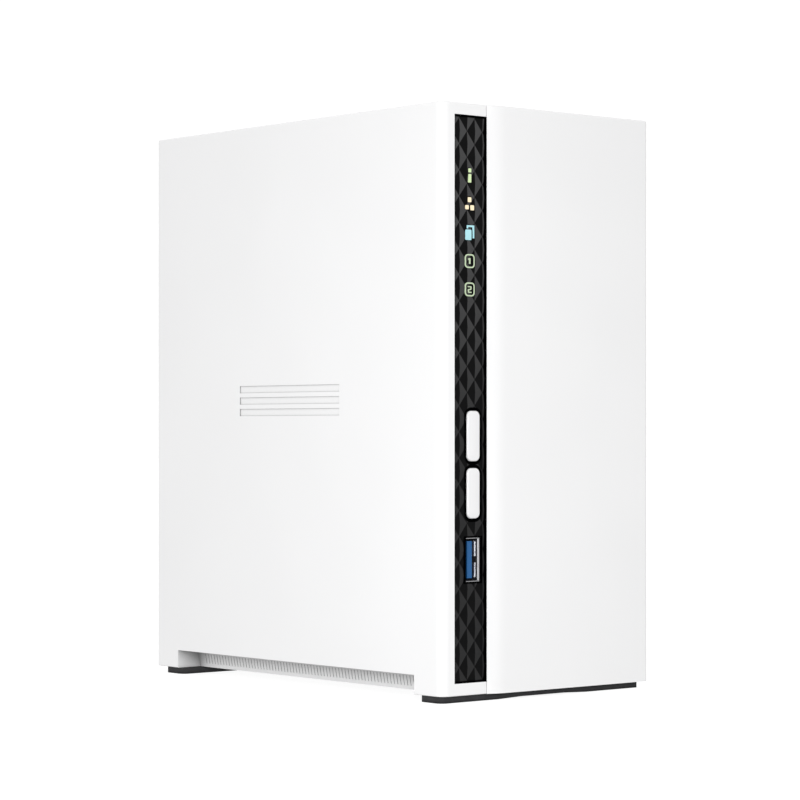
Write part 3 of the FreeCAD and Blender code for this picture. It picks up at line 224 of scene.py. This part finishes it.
def circuit_board(name, color):
    """Lacquered board: copper areas show through the lacquer as paler cells with dark lanes between them."""
    made = Nodes(name, color, 0.32)
    cells = made.tree.nodes.new("ShaderNodeTexVoronoi")
    cells.distance = "CHEBYCHEV"
    cells.feature = "F1"
    cells.inputs["Scale"].default_value = 1.0 / (3.2 * MM)
    made.link(made.places, cells.inputs["Vector"])
    made.vary_color(made.spread(cells.outputs["Distance"], 0.0, 1.0), shade(color, 1.5), shade(color, 0.7))
    made.bump(cells.outputs["Distance"], 0.03 * MM)
    made.shader.inputs["Coat Weight"].default_value = 0.4
    made.shader.inputs["Coat Roughness"].default_value = 0.15
    return made.material


def light_guide(name, color, strength):
    """Milky plastic lit from behind, a little brighter in some spots than in others."""
    made = Nodes(name, color, 0.3)
    made.vary_color(made.spread(made.noise(1.2 * MM), 0.0, 1.0), shade(color, 0.16), shade(color, 0.2))
    made.bump(made.noise(0.15 * MM), 0.01 * MM)
    made.shader.inputs["Emission Color"].default_value = (*color, 1.0)
    made.shader.inputs["Emission Strength"].default_value = strength
    return made.material


MATERIALS = {
    # shell_white carries painted shade in its own recesses, seams and grooves.
    "shell_white": moulded_plastic("shell_white", (0.835, 0.835, 0.838), 0.5, 0.28, 0.008, specular=0.35,
                                    corners=(8 * MM, 0.3, 0.35, 0.95, True)),
    "strip_black": moulded_plastic("strip_black", (0.0015, 0.0015, 0.0017), 0.45, 0.2, 0.003, specular=0.06),
    # Dark plastic made blacker and without gloss: painted shade for the gaps round the strip, the keys and the port.
    "strip_gap_shade_black": moulded_plastic("strip_gap_shade_black", (0.0008, 0.0008, 0.0009), 0.6, 0.2, 0.003, specular=0.0),
    # A paler copy of the strip's black for the pyramids' right-hand sides: painted light on the sides that face the
    # lamps, brighter towards the top.
    "strip_painted_sheen": plastic_with_painted_top_light("strip_painted_sheen", (0.019, 0.019, 0.0195), (0.051, 0.051, 0.052), 0.07, 0.15, 0.45),
    "key_white": moulded_plastic("key_white", (0.79, 0.79, 0.795), 0.2, 0.5, 0.002, coat=0.4),
    "lens_green": light_guide("lens_green", (0.74, 0.93, 0.5), 0.72),
    "ring_green": light_guide("ring_green", (0.76, 0.92, 0.62), 0.52),
    "lens_warm": light_guide("lens_warm", (1.0, 0.85, 0.57), 0.86),
    "lens_cyan": light_guide("lens_cyan", (0.5, 0.92, 1.0), 0.66),
    "black_plastic": moulded_plastic("black_plastic", (0.02, 0.02, 0.022), 0.5, 0.3, 0.012),
    "grey_rubber": rubber("grey_rubber", (0.036, 0.036, 0.038)),
    "board_green": circuit_board("board_green", (0.012, 0.09, 0.045)),
    "chip_black": moulded_plastic("chip_black", (0.022, 0.022, 0.024), 0.55, 0.15, 0.01),
    "ferrite": moulded_plastic("ferrite", (0.09, 0.09, 0.095), 0.6, 0.25, 0.02),
    "bare_aluminium": brushed_metal("bare_aluminium", (0.78, 0.79, 0.8), 0.3),
    "anodised": brushed_metal("anodised", (0.12, 0.125, 0.14), 0.35),
    "cast_drive": cast_metal("cast_drive", (0.42, 0.43, 0.45), 0.45),
    "plated_steel": brushed_metal("plated_steel", (0.62, 0.63, 0.64), 0.28, "Y"),
    "port_steel": brushed_metal("port_steel", (0.37, 0.37, 0.38), 0.35, "Y"),
    "spring_steel": brushed_metal("spring_steel", (0.88, 0.89, 0.92), 0.35, "Y"),
    "usb_blue": moulded_plastic("usb_blue", (0.010, 0.100, 0.28), 0.4, 0.2, 0.004, specular=0.25),
    "contact_brass": brushed_metal("contact_brass", (0.83, 0.6, 0.26), 0.22, "Y"),
    "wire_black": moulded_plastic("wire_black", (0.025, 0.025, 0.027), 0.45, 0.4, 0.01),
}


def dress_cad_nodes():
    """Gives every CAD node the material of its slot in the record."""
    for row in frame["record"]["subparts"]:
        node = frame["nodes"][row["node"]]
        node.data.materials.clear()
        node.data.materials.append(MATERIALS[row["material_slot"]])


# Pieces

def add_piece(name, mesh, body, slot, smooth=40, finish=None):
    """Puts a mesh in the scene as a piece that rides on a body; finish names its material if not its slot's own."""
    piece = bpy.data.objects.new(name, mesh)
    scene.collection.objects.link(piece)
    mesh.materials.append(MATERIALS[finish or slot])
    mesh.shade_smooth()
    bpy.context.view_layer.objects.active = piece
    mesh.set_sharp_from_angle(angle=math.radians(smooth))
    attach(piece, body)
    return piece


def mesh_of(name, bm):
    """Ends a bmesh and returns it as a mesh with its faces pointing outwards."""
    bmesh.ops.recalc_face_normals(bm, faces=bm.faces)
    mesh = bpy.data.meshes.new(name)
    bm.to_mesh(mesh)
    bm.free()
    return mesh


def ring_of(bm, points):
    return [bm.verts.new(point) for point in points]


def bridge(bm, first, second):
    """Quads between two rings with as many points each."""
    count = len(first)
    for i in range(count):
        j = (i + 1) % count
        bm.faces.new((first[i], first[j], second[j], second[i]))


def rounded_outline(half_wide, half_tall, radius, steps=8):
    """Points of a rectangle with round corners, in the plane of x and z, round its middle."""
    radius = min(radius, half_wide, half_tall)
    points = []
    corners = ((1, 1, 0), (-1, 1, 90), (-1, -1, 180), (1, -1, 270))
    for sx, sz, start in corners:
        for k in range(steps + 1):
            turn = math.radians(start + 90 * k / steps)
            points.append((sx * (half_wide - radius) + radius * math.cos(turn),
                           sz * (half_tall - radius) + radius * math.sin(turn)))
    return points


def stack(bm, centre, rings, half_wide, half_tall, radius, steps=8):
    """A closed form of round-cornered rings: each ring is an inset from the outline and a place along y."""
    made = []
    for inset, y in rings:
        outline = rounded_outline(half_wide - inset, half_tall - inset, max(radius - inset, 0.05 * MM), steps)
        made.append(ring_of(bm, [(centre[0] + u, y, centre[1] + v) for u, v in outline]))
    for first, second in zip(made, made[1:]):
        bridge(bm, first, second)
    bm.faces.new(made[0])
    bm.faces.new(made[-1][::-1])


def slab(bm, x, y, z, bevel=0.0):
    """A box between pairs of limits, with its edges rounded if bevel is given."""
    corners = [bm.verts.new((x[i], y[j], z[k])) for i in (0, 1) for j in (0, 1) for k in (0, 1)]
    sides = ((0, 1, 3, 2), (4, 6, 7, 5), (0, 4, 5, 1), (2, 3, 7, 6), (0, 2, 6, 4), (1, 5, 7, 3))
    faces = [bm.faces.new([corners[i] for i in side]) for side in sides]
    if bevel:
        edges = list({edge for face in faces for edge in face.edges})
        bmesh.ops.bevel(bm, geom=edges, offset=bevel, segments=3, profile=0.5, affect="EDGES")


def middle(node):
    low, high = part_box(node)
    return (low + high) / 2


# The faceted strip, the lit symbols and the keys

FACET_PITCH, FACET_HALF_TALL = 3.23 * MM, 4.125 * MM
# The first tip: from the shell's left side, and down from the strip's top.
FIRST_TIP, FIRST_TIP_DOWN = 7.7 * MM, 4.97 * MM
KEY_HALF_WIDE, KEY_HALF_TALL, KEY_ROUND = 2.65 * MM, 8.0 * MM, 1.8 * MM
COLLAR_OUT = 1.05 * MM

strip_low, strip_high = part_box("front_strip")
shell_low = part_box("main_shell")[0]
cover_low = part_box("side_cover")[0]
MAIN_FRONT = shell_low.y
STRIP_FACE = strip_low.y
SUNK = 0.02 * MM  # how deep the pieces on the strip start inside it
# Faces on the strip, by how far each is behind the shell's front.
RIM_FACE = MAIN_FRONT + 0.05 * MM
FACET_TIP = MAIN_FRONT + 0.2 * MM
FACET_FOOT = MAIN_FRONT + 0.55 * MM
COLLAR_FACE = MAIN_FRONT + 0.35 * MM
SYMBOL_FACE = MAIN_FRONT + 0.25 * MM
# Edges of the black strip, and of its facets inside the plain rim.
STRIP_X = (shell_low.x + 5.38 * MM, cover_low.x - 0.06 * MM)
STRIP_Z = (strip_low.z + 1.2 * MM, strip_high.z)
FACET_X = (STRIP_X[0] + 0.15 * MM, STRIP_X[1] - 0.85 * MM)
FACET_Z = (STRIP_Z[0] + 0.75 * MM, STRIP_Z[1] - 0.6 * MM)


def facet_lattice(bm):
    """Four-sided pyramids on a diamond lattice; those of every other column are half a pitch lower.

    Their right-hand sides take the second material, a paler copy of the black that paints the light they catch.
    """
    columns = int((FACET_X[1] - FACET_X[0]) / FACET_PITCH) + 3
    rows = int((FACET_Z[1] - FACET_Z[0]) / (2 * FACET_HALF_TALL)) + 3
    for column in range(-1, columns):
        for row in range(-1, rows):
            u = shell_low.x + FIRST_TIP + column * FACET_PITCH
            v = strip_high.z - FIRST_TIP_DOWN - (row + (column % 2) / 2) * 2 * FACET_HALF_TALL
            tip = bm.verts.new((u, FACET_TIP, v))
            feet = ring_of(bm, [(u + FACET_PITCH, FACET_FOOT, v), (u, FACET_FOOT, v + FACET_HALF_TALL),
                                (u - FACET_PITCH, FACET_FOOT, v), (u, FACET_FOOT, v - FACET_HALF_TALL)])
            for i in range(4):
                side = bm.faces.new((tip, feet[i], feet[(i + 1) % 4]))
                # Right-hand sides get the paler copy: painted light.
                side.material_index = 1 if i in (0, 3) else 0
    bmesh.ops.remove_doubles(bm, verts=bm.verts, dist=0.01 * MM)


def trim(bm, x, z):
    """Cuts a sheet off outside a rectangle."""
    for place, outward in (((x[0], 0, 0), (-1, 0, 0)), ((x[1], 0, 0), (1, 0, 0)),
                           ((0, 0, z[0]), (0, 0, -1)), ((0, 0, z[1]), (0, 0, 1))):
        geometry = bm.verts[:] + bm.edges[:] + bm.faces[:]
        bmesh.ops.bisect_plane(bm, geom=geometry, plane_co=place, plane_no=outward, clear_outer=True, dist=1e-7)


def thicken(bm, y):
    """Closes a sheet into a solid with a flat back at y."""
    made = bmesh.ops.extrude_face_region(bm, geom=bm.faces[:])
    for vert in (item for item in made["geom"] if isinstance(item, bmesh.types.BMVert)):
        vert.co.y = y
    for face in (item for item in made["geom"] if isinstance(item, bmesh.types.BMFace)):
        face.material_index = 0


def cut_out(piece, cutters):
    """Takes meshes away from a piece for good."""
    for cutter in cutters:
        tool = bpy.data.objects.new("cutter", cutter)
        scene.collection.objects.link(tool)
        step = piece.modifiers.new("cut", "BOOLEAN")
        step.operation = "DIFFERENCE"
        step.solver = "EXACT"
        step.object = tool
        bpy.context.view_layer.objects.active = piece
        bpy.ops.object.modifier_apply(modifier=step.name)
        bpy.data.objects.remove(tool)


def round_cutter(centre, half_wide, half_tall, radius, deep=STRIP_FACE + 3 * MM):
    bm = bmesh.new()
    stack(bm, centre, [(0, deep), (0, STRIP_FACE - 3 * MM)], half_wide, half_tall, radius)
    return mesh_of("cutter", bm)


def tube(bm, centre, half_wide, half_tall, radius, band, face, back, soften=0.08 * MM):
    """A round-cornered ring that stands out of the strip."""
    made = []
    for inset, y in ((0, back), (0, face + soften), (soften, face), (band - soften, face),
                     (band, face + soften), (band, back)):
        outline = rounded_outline(half_wide - inset, half_tall - inset, max(radius - inset, 0.1 * MM), 8)
        made.append(ring_of(bm, [(centre[0] + u, y, centre[1] + v) for u, v in outline]))
    for first, second in zip(made, made[1:] + made[:1]):
        bridge(bm, first, second)


def place_of(node):
    centre = middle(node)
    return centre.x, centre.z


def port_frame():
    """Middle and half sizes of the frame round the port: a narrow band on the left and a wide one on the right."""
    low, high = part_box("front_usb_shell")
    left, right = low.x - 0.45 * MM, high.x + 0.75 * MM
    return ((left + right) / 2, (low.z + high.z) / 2), (right - left) / 2, (high.z - low.z) / 2 + 0.4 * MM


def open_frame(bm, outer, inner, face, radius, steps):
    """A flat frame from the strip's body to a face.

    outer and inner are its middle and half sizes, outside and inside.
    """
    back = STRIP_FACE - SUNK
    rings = []
    for (centre, half_wide, half_tall), y in ((outer, back), (outer, face), (inner, face), (inner, back)):
        outline = rounded_outline(half_wide, half_tall, radius, steps)
        rings.append(ring_of(bm, [(centre[0] + u, y, centre[1] + v) for u, v in outline]))
    for first, second in zip(rings, rings[1:] + rings[:1]):
        bridge(bm, first, second)


def spanned(x, z):
    """Middle and half sizes of a rectangle between two places in x and two in z."""
    return ((x[0] + x[1]) / 2, (z[0] + z[1]) / 2), (x[1] - x[0]) / 2, (z[1] - z[0]) / 2


def port_opening():
    """Middle and half sizes of the hole in the port's frame, which hides the left wall of the port."""
    low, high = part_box("front_usb_shell")
    hidden = 0.15 * MM
    return spanned((low.x + 0.45 * MM, high.x + 0.05 * MM), (low.z + hidden, high.z - hidden))


def black_trim():
    """The strip's plain rim, the collars round the keys and the frame round the port, in dark plastic made blacker and
    glossless to paint the shade of the gaps they line.
    """
    bm = bmesh.new()
    open_frame(bm, spanned(STRIP_X, STRIP_Z), spanned(FACET_X, FACET_Z), RIM_FACE, 0.1 * MM, 1)
    add_piece("strip_rim", mesh_of("strip_rim", bm), "chassis", "strip_black", 30, "strip_gap_shade_black")
    bm = bmesh.new()
    for node in ("power_button", "copy_button"):
        tube(bm, place_of(node), KEY_HALF_WIDE + COLLAR_OUT, KEY_HALF_TALL + COLLAR_OUT, KEY_ROUND + COLLAR_OUT,
             COLLAR_OUT - 0.12 * MM, COLLAR_FACE, STRIP_FACE - SUNK)
    add_piece("key_collars", mesh_of("key_collars", bm), "chassis", "strip_black", 30, "strip_gap_shade_black")
    bm = bmesh.new()
    open_frame(bm, port_frame(), port_opening(), COLLAR_FACE, 0.3 * MM, 3)
    add_piece("port_frame", mesh_of("port_frame", bm), "chassis", "strip_black", 30, "strip_gap_shade_black")


# Each symbol: boxes of x and z from its middle in millimetres, with the radius of their corners.
SYMBOLS = {
    "status_lens": [(-0.6, 0.6, 1.15, 2.4, 0.15), (-0.6, 0.6, -2.05, 0.65, 0.15)],
    "network_lens": [(-0.84, 0.62, 0.7, 2.25, 0.25), (-1.8, -0.45, -1.6, -0.28, 0.25), (0.3, 1.78, -1.82, -0.22, 0.25)],
    "copy_lens": [(-1.78, 0.68, -2.32, 0.98, 0.35)],
    "drive_one_lens": [(-0.27, 0.27, -0.9, 0.95, 0.1), (-0.6, -0.2, 0.42, 0.8, 0.08)],
    "drive_two_lens": [(-0.7, 0.65, 0.68, 1.03, 0.1), (0.3, 0.7, 0.0, 0.9, 0.1), (-0.42, 0.5, -0.2, 0.17, 0.1),
                       (-0.7, -0.3, -0.78, 0.03, 0.1), (-0.7, 0.72, -1.08, -0.72, 0.1)],
}
RINGED = ("drive_one_lens", "drive_two_lens")
RING_HALF_WIDE, RING_HALF_TALL, RING_ROUND, RING_BAND = 2.02 * MM, 2.2 * MM, 1.2 * MM, 0.43 * MM
SYMBOL_BACK = STRIP_FACE + 0.1 * MM
SYMBOL_SPREAD = {"status_lens": (0.7, 2.5), "network_lens": (1.9, 2.3), "copy_lens": (1.85, 2.4),
                 "drive_one_lens": (2.02, 2.2), "drive_two_lens": (2.02, 2.2)}


def tile(bm, centre, box):
    """A round-cornered plate of a symbol, from the strip's body to its face, with a softened rim."""
    left, right, low, high, radius = (value * MM for value in box)
    place = (centre[0] + (left + right) / 2, centre[1] + (low + high) / 2)
    rings = [(0, SYMBOL_BACK), (0, SYMBOL_FACE + 0.05 * MM), (0.05 * MM, SYMBOL_FACE)]
    stack(bm, place, rings, (right - left) / 2, (high - low) / 2, radius, 4)


def page_behind(bm, centre):
    """The outline of a second page that shows above and to the right of the first."""
    bends = [(-1.3, 1.3), (-1.3, 2.35), (1.82, 2.35), (1.82, -1.7), (1.2, -1.7), (1.2, 1.8), (-0.75, 1.8), (-0.75, 1.3)]
    rings = []
    for y in (SYMBOL_BACK, SYMBOL_FACE):
        rings.append(ring_of(bm, [(centre[0] + u * MM, y, centre[1] + v * MM) for u, v in bends]))
    bridge(bm, *rings)
    bm.faces.new(rings[0])
    bm.faces.new(rings[1][::-1])


def lit_symbols():
    """The five symbols as light guides that stand nearly level with the tips of the pyramids."""
    slots = {row["node"]: row["material_slot"] for row in frame["record"]["subparts"]}
    for node, boxes in SYMBOLS.items():
        bm = bmesh.new()
        centre = place_of(node)
        for box in boxes:
            tile(bm, centre, box)
        if node in RINGED:
            tube(bm, centre, RING_HALF_WIDE, RING_HALF_TALL, RING_ROUND, RING_BAND, SYMBOL_FACE,
                 SYMBOL_BACK, 0.05 * MM)
        if node == "copy_lens":
            page_behind(bm, centre)
        finish = "ring_green" if node in RINGED else None
        piece = add_piece(node.replace("_lens", "_symbol"), mesh_of(node, bm), "chassis", slots[node], 50, finish)
        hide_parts(node)


def symbol_pits():
    """Cutters that leave a dark margin round every symbol."""
    gap, rounding, floor = 0.3 * MM, 1.3 * MM, SYMBOL_FACE + 0.12 * MM
    return [round_cutter(place_of(node), half_wide * MM + gap, half_tall * MM + gap, rounding, floor)
            for node, (half_wide, half_tall) in SYMBOL_SPREAD.items()]


def faceted_strip():
    """The black skin of pyramids on the front strip, cut out for the symbols, the keys' collars and the port."""
    bm = bmesh.new()
    facet_lattice(bm)
    trim(bm, FACET_X, FACET_Z)
    thicken(bm, STRIP_FACE - SUNK)
    piece = add_piece("faceted_strip", mesh_of("faceted_strip", bm), "chassis", "strip_black", 1)
    # The paler copy for the right-hand sides: painted light and painted sheen.
    piece.data.materials.append(MATERIALS["strip_painted_sheen"])
    collars = [round_cutter(place_of(node), KEY_HALF_WIDE + COLLAR_OUT, KEY_HALF_TALL + COLLAR_OUT,
                            KEY_ROUND + COLLAR_OUT) for node in ("power_button", "copy_button")]
    cut_out(piece, collars + symbol_pits() + [round_cutter(*port_frame(), 0.3 * MM)])


def key_cap(node, body):
    """A crowned key with round corners, its flange and stem, closed all round."""
    low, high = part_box(node)
    centre = middle(node)
    flange, thick, flange_back = 0.7 * MM, 0.8 * MM, MAIN_FRONT + 4.75 * MM
    shoulder, crown_wide, crown_high = 0.55 * MM, 1.9 * MM, 0.1 * MM
    stem, stem_edge = 1.2 * MM, 0.15 * MM
    face = low.y
    rings = [(1.5 * MM, flange_back), (-flange, flange_back), (-flange, flange_back - thick),
             (0, flange_back - thick), (0, face + 0.9 * MM)]
    steps = 8
    for k in range(1, steps + 1):
        turn = math.pi / 2 * k / steps
        rings.append((shoulder * (1 - math.cos(turn)), face + crown_high + shoulder * (1 - math.sin(turn))))
    for share in (0.3, 0.6, 0.85, 0.98):
        rings.append((shoulder + share * crown_wide, face + crown_high * (1 - share) ** 2))
    bm = bmesh.new()
    stack(bm, (centre.x, centre.z), rings, KEY_HALF_WIDE, KEY_HALF_TALL, KEY_ROUND, 12)
    stack(bm, (centre.x, centre.z), [(0, flange_back), (0, high.y - stem_edge), (stem_edge, high.y)],
          stem, stem, stem, 6)
    piece = add_piece(node + "_cap", mesh_of(node, bm), body, "key_white", 35)
    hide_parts(node)


# Ports

def prism(bm, outline, z):
    """An upright solid whose section in x and y is a polygon."""
    rings = [ring_of(bm, [(x, y, height) for x, y in outline]) for height in z]
    bridge(bm, *rings)
    bm.faces.new(rings[0])
    bm.faces.new(rings[1][::-1])


def usb_port_details(prefix, way):
    """A flared lip, two sprung leaves, a black sheet behind them on the shell's wall that stands for its cut-outs and
    paints the shade deeper in the port, and the contacts.

    way is the y direction from the mouth into the port.
    """
    low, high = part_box(prefix + "_shell")
    mouth = low.y if way > 0 else high.y
    centre = (low.z + high.z) / 2
    wall = 0.4 * MM

    def section(*places):
        """Places on the right wall: how far each stands out from it, and how deep it is, in millimetres."""
        return [(high.x - wall - out * MM, mouth + way * deep * MM) for out, deep in places]

    bm = bmesh.new()
    prism(bm, section((-0.02, 0.02), (0.29, 0.51), (0.29, 0.6), (-0.02, 1.0)), (centre - 6.65 * MM, centre + 6.65 * MM))
    add_piece(prefix + "_lip", mesh_of(prefix + "_lip", bm), "chassis", "port_steel", 20)
    bm = bmesh.new()
    for side in (-1, 1):
        middle_z = centre + side * 3.35 * MM
        prism(bm, section((-0.02, 1.54), (0.33, 2.1), (0.37, 2.3), (0.36, 6.1), (-0.02, 6.2)),
              (middle_z - 2.37 * MM, middle_z + 2.37 * MM))
    add_piece(prefix + "_springs", mesh_of(prefix + "_springs", bm), "chassis", "port_steel", 20, "spring_steel")
    # A black sheet on the wall: painted shade deep in the port, and the dark of the shell's cut-outs.
    bm = bmesh.new()
    prism(bm, section((-0.05, 1.0), (0.03, 1.06), (0.03, 14.4), (-0.05, 14.5)), (centre - 6.4 * MM, centre + 6.4 * MM))
    add_piece(prefix + "_window", mesh_of(prefix + "_window", bm), "chassis", "black_plastic", 20)
    bm = bmesh.new()
    blade = low.x + wall + 3.6 * MM
    for i in range(4):
        z = centre + (i - 1.5) * 2.3 * MM
        ends = tuple(sorted((mouth + way * 2.2 * MM, mouth + way * 8 * MM)))
        slab(bm, (blade - 0.02 * MM, blade + 0.12 * MM), ends, (z - 0.5 * MM, z + 0.5 * MM), 0.05 * MM)
    add_piece(prefix + "_contacts", mesh_of(prefix + "_contacts", bm), "chassis", "contact_brass", 40)


def network_port_details():
    """Eight sprung wires and two light guides of the network socket."""
    low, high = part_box("lan_port_shell")
    centre = middle("lan_port_shell")
    mouth = high.y
    bm = bmesh.new()
    for i in range(8):
        z = centre.z + (i - 3.5) * 1.02 * MM
        rings = []
        for share in (0, 0.25, 0.5, 0.75, 1):
            y = mouth - (3 + 9.5 * share) * MM
            x = high.x - (0.35 + 1.75 + 2.4 * share) * MM
            half = 0.2 * MM
            rings.append(ring_of(bm, [(x - half, y, z - half), (x + half, y, z - half), (x + half, y, z + half),
                                      (x - half, y, z + half)]))
        for first, second in zip(rings, rings[1:]):
            bridge(bm, first, second)
        bm.faces.new(rings[0])
        bm.faces.new(rings[-1][::-1])
    add_piece("lan_contacts", mesh_of("lan_contacts", bm), "chassis", "contact_brass", 40)
    bm = bmesh.new()
    for side in (-1, 1):
        z = centre.z + side * 6.1 * MM
        slab(bm, (low.x + 0.5 * MM, low.x + 2.2 * MM), (mouth - 2 * MM, mouth - 0.1 * MM),
             (z - 1.3 * MM, z + 1.3 * MM), 0.15 * MM)
    add_piece("lan_lamps", mesh_of("lan_lamps", bm), "chassis", "lens_green", 40)


def fan_label():
    """A plain round foil label on the fan's motor plate, with no print."""
    low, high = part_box("fan_frame")
    centre = middle("fan_frame")
    bm = bmesh.new()
    stack(bm, (centre.x, centre.z), [(0, low.y), (0, low.y - 0.08 * MM), (0.1 * MM, low.y - 0.12 * MM)],
          12.2 * MM, 12.2 * MM, 12.2 * MM, 12)
    add_piece("fan_label", mesh_of("fan_label", bm), "chassis", "bare_aluminium", 40)


dress_cad_nodes()
faceted_strip()
black_trim()
lit_symbols()
key_cap("power_button", "power_key")
key_cap("copy_button", "copy_key")
usb_port_details("front_usb", 1)
usb_port_details("upper_usb", -1)
usb_port_details("lower_usb", -1)
network_port_details()
fan_label()


# Camera, light and floor

# The camera's turn from straight ahead, then its place: back, aside and up from the middle of the base.
CAMERA_TURN = 40.2
CAMERA_BACK, CAMERA_ASIDE, CAMERA_HEIGHT = 0.943379, 0.001856, 0.085763
LENS_LENGTH, LENS_SHIFT, SENSOR_WIDTH = 123.12, 0.0379, 36
FLOOR_GLOW, FLOOR_REACH = 0.87, 6
GROUND_GLOW, WALL_GLOW, CEILING_SHARE = 0.36, 1.10, 0.75


def camera():
    """A long lens level with the lower half of the tower, off its front left corner."""
    turn = math.radians(CAMERA_TURN)
    forward = Vector((math.sin(turn), math.cos(turn), 0))
    aside = Vector((math.cos(turn), -math.sin(turn), 0))
    lens = bpy.data.cameras.new("camera")
    lens.lens = LENS_LENGTH
    lens.sensor_width = SENSOR_WIDTH
    lens.shift_y = LENS_SHIFT
    lens.clip_start, lens.clip_end = 0.05, 20
    eye = bpy.data.objects.new("camera", lens)
    eye.location = -CAMERA_BACK * forward + CAMERA_ASIDE * aside + Vector((0, 0, CAMERA_HEIGHT))
    eye.rotation_euler = (math.pi / 2, 0, -turn)
    scene.collection.objects.link(eye)
    scene.camera = eye


def softbox(name, place, target, wide, tall, watts):
    """A rectangular lamp at a place, turned towards a target."""
    lamp = bpy.data.lights.new(name, "AREA")
    lamp.shape = "RECTANGLE"
    lamp.size, lamp.size_y, lamp.energy = wide, tall, watts
    holder = bpy.data.objects.new(name, lamp)
    holder.location = place
    holder.rotation_euler = (Vector(target) - Vector(place)).to_track_quat("-Z", "Y").to_euler()
    scene.collection.objects.link(holder)


def graded(tree, value, start, end, low, high):
    """Maps a range of a value onto another range, held level outside it."""
    ramp = tree.nodes.new("ShaderNodeMapRange")
    for name, number in zip(("From Min", "From Max", "To Min", "To Max"), (start, end, low, high)):
        ramp.inputs[name].default_value = number
    tree.links.new(value, ramp.inputs["Value"])
    return ramp.outputs["Result"]


def room():
    """White all round at eye level, a little greyer overhead, and grey below, as over a workshop floor."""
    world = bpy.data.worlds.new("studio")
    world.use_nodes = True
    tree = world.node_tree
    place = tree.nodes.new("ShaderNodeTexCoord").outputs["Generated"]
    split = tree.nodes.new("ShaderNodeSeparateXYZ")
    tree.links.new(place, split.inputs["Vector"])
    below = graded(tree, split.outputs["Z"], -0.45, -0.08, GROUND_GLOW, WALL_GLOW)
    above = graded(tree, split.outputs["Z"], 0.3, 1.0, 1.0, CEILING_SHARE)
    product = tree.nodes.new("ShaderNodeMath")
    product.operation = "MULTIPLY"
    tree.links.new(below, product.inputs[0])
    tree.links.new(above, product.inputs[1])
    tree.nodes["Background"].inputs["Color"].default_value = (1, 1, 1, 1)
    tree.links.new(product.outputs[0], tree.nodes["Background"].inputs["Strength"])
    scene.world = world


def light_table():
    """A pale floor lit from below, so that hardly any shadow shows; its glow is left off the object's shading."""
    bm = bmesh.new()
    bmesh.ops.create_grid(bm, x_segments=1, y_segments=1, size=FLOOR_REACH)
    floor = bpy.data.objects.new("floor", mesh_of("floor", bm))
    scene.collection.objects.link(floor)
    paper = Nodes("floor_paper", (0.2, 0.2, 0.2), 0.9)
    paper.vary_color(paper.noise(60 * MM), (0.19, 0.19, 0.19), (0.21, 0.21, 0.21))
    paper.shader.inputs["Emission Color"].default_value = (1, 1, 1, 1)
    paper.shader.inputs["Emission Strength"].default_value = FLOOR_GLOW
    floor.data.materials.append(paper.material)
    floor.visible_diffuse = False


def studio():
    """The room, the floor and two softboxes off the tower's near corner."""
    scene.view_settings.view_transform = "Standard"
    room()
    light_table()
    softbox("key_softbox", (-0.43, -0.40, 0.075), (-0.03, -0.05, 0.075), 0.35, 0.3, 1.4)
    softbox("corner_softbox", (-0.21, -0.24, 0.085), (-0.04, -0.07, 0.085), 0.12, 0.10, 0.06)


camera()
studio()
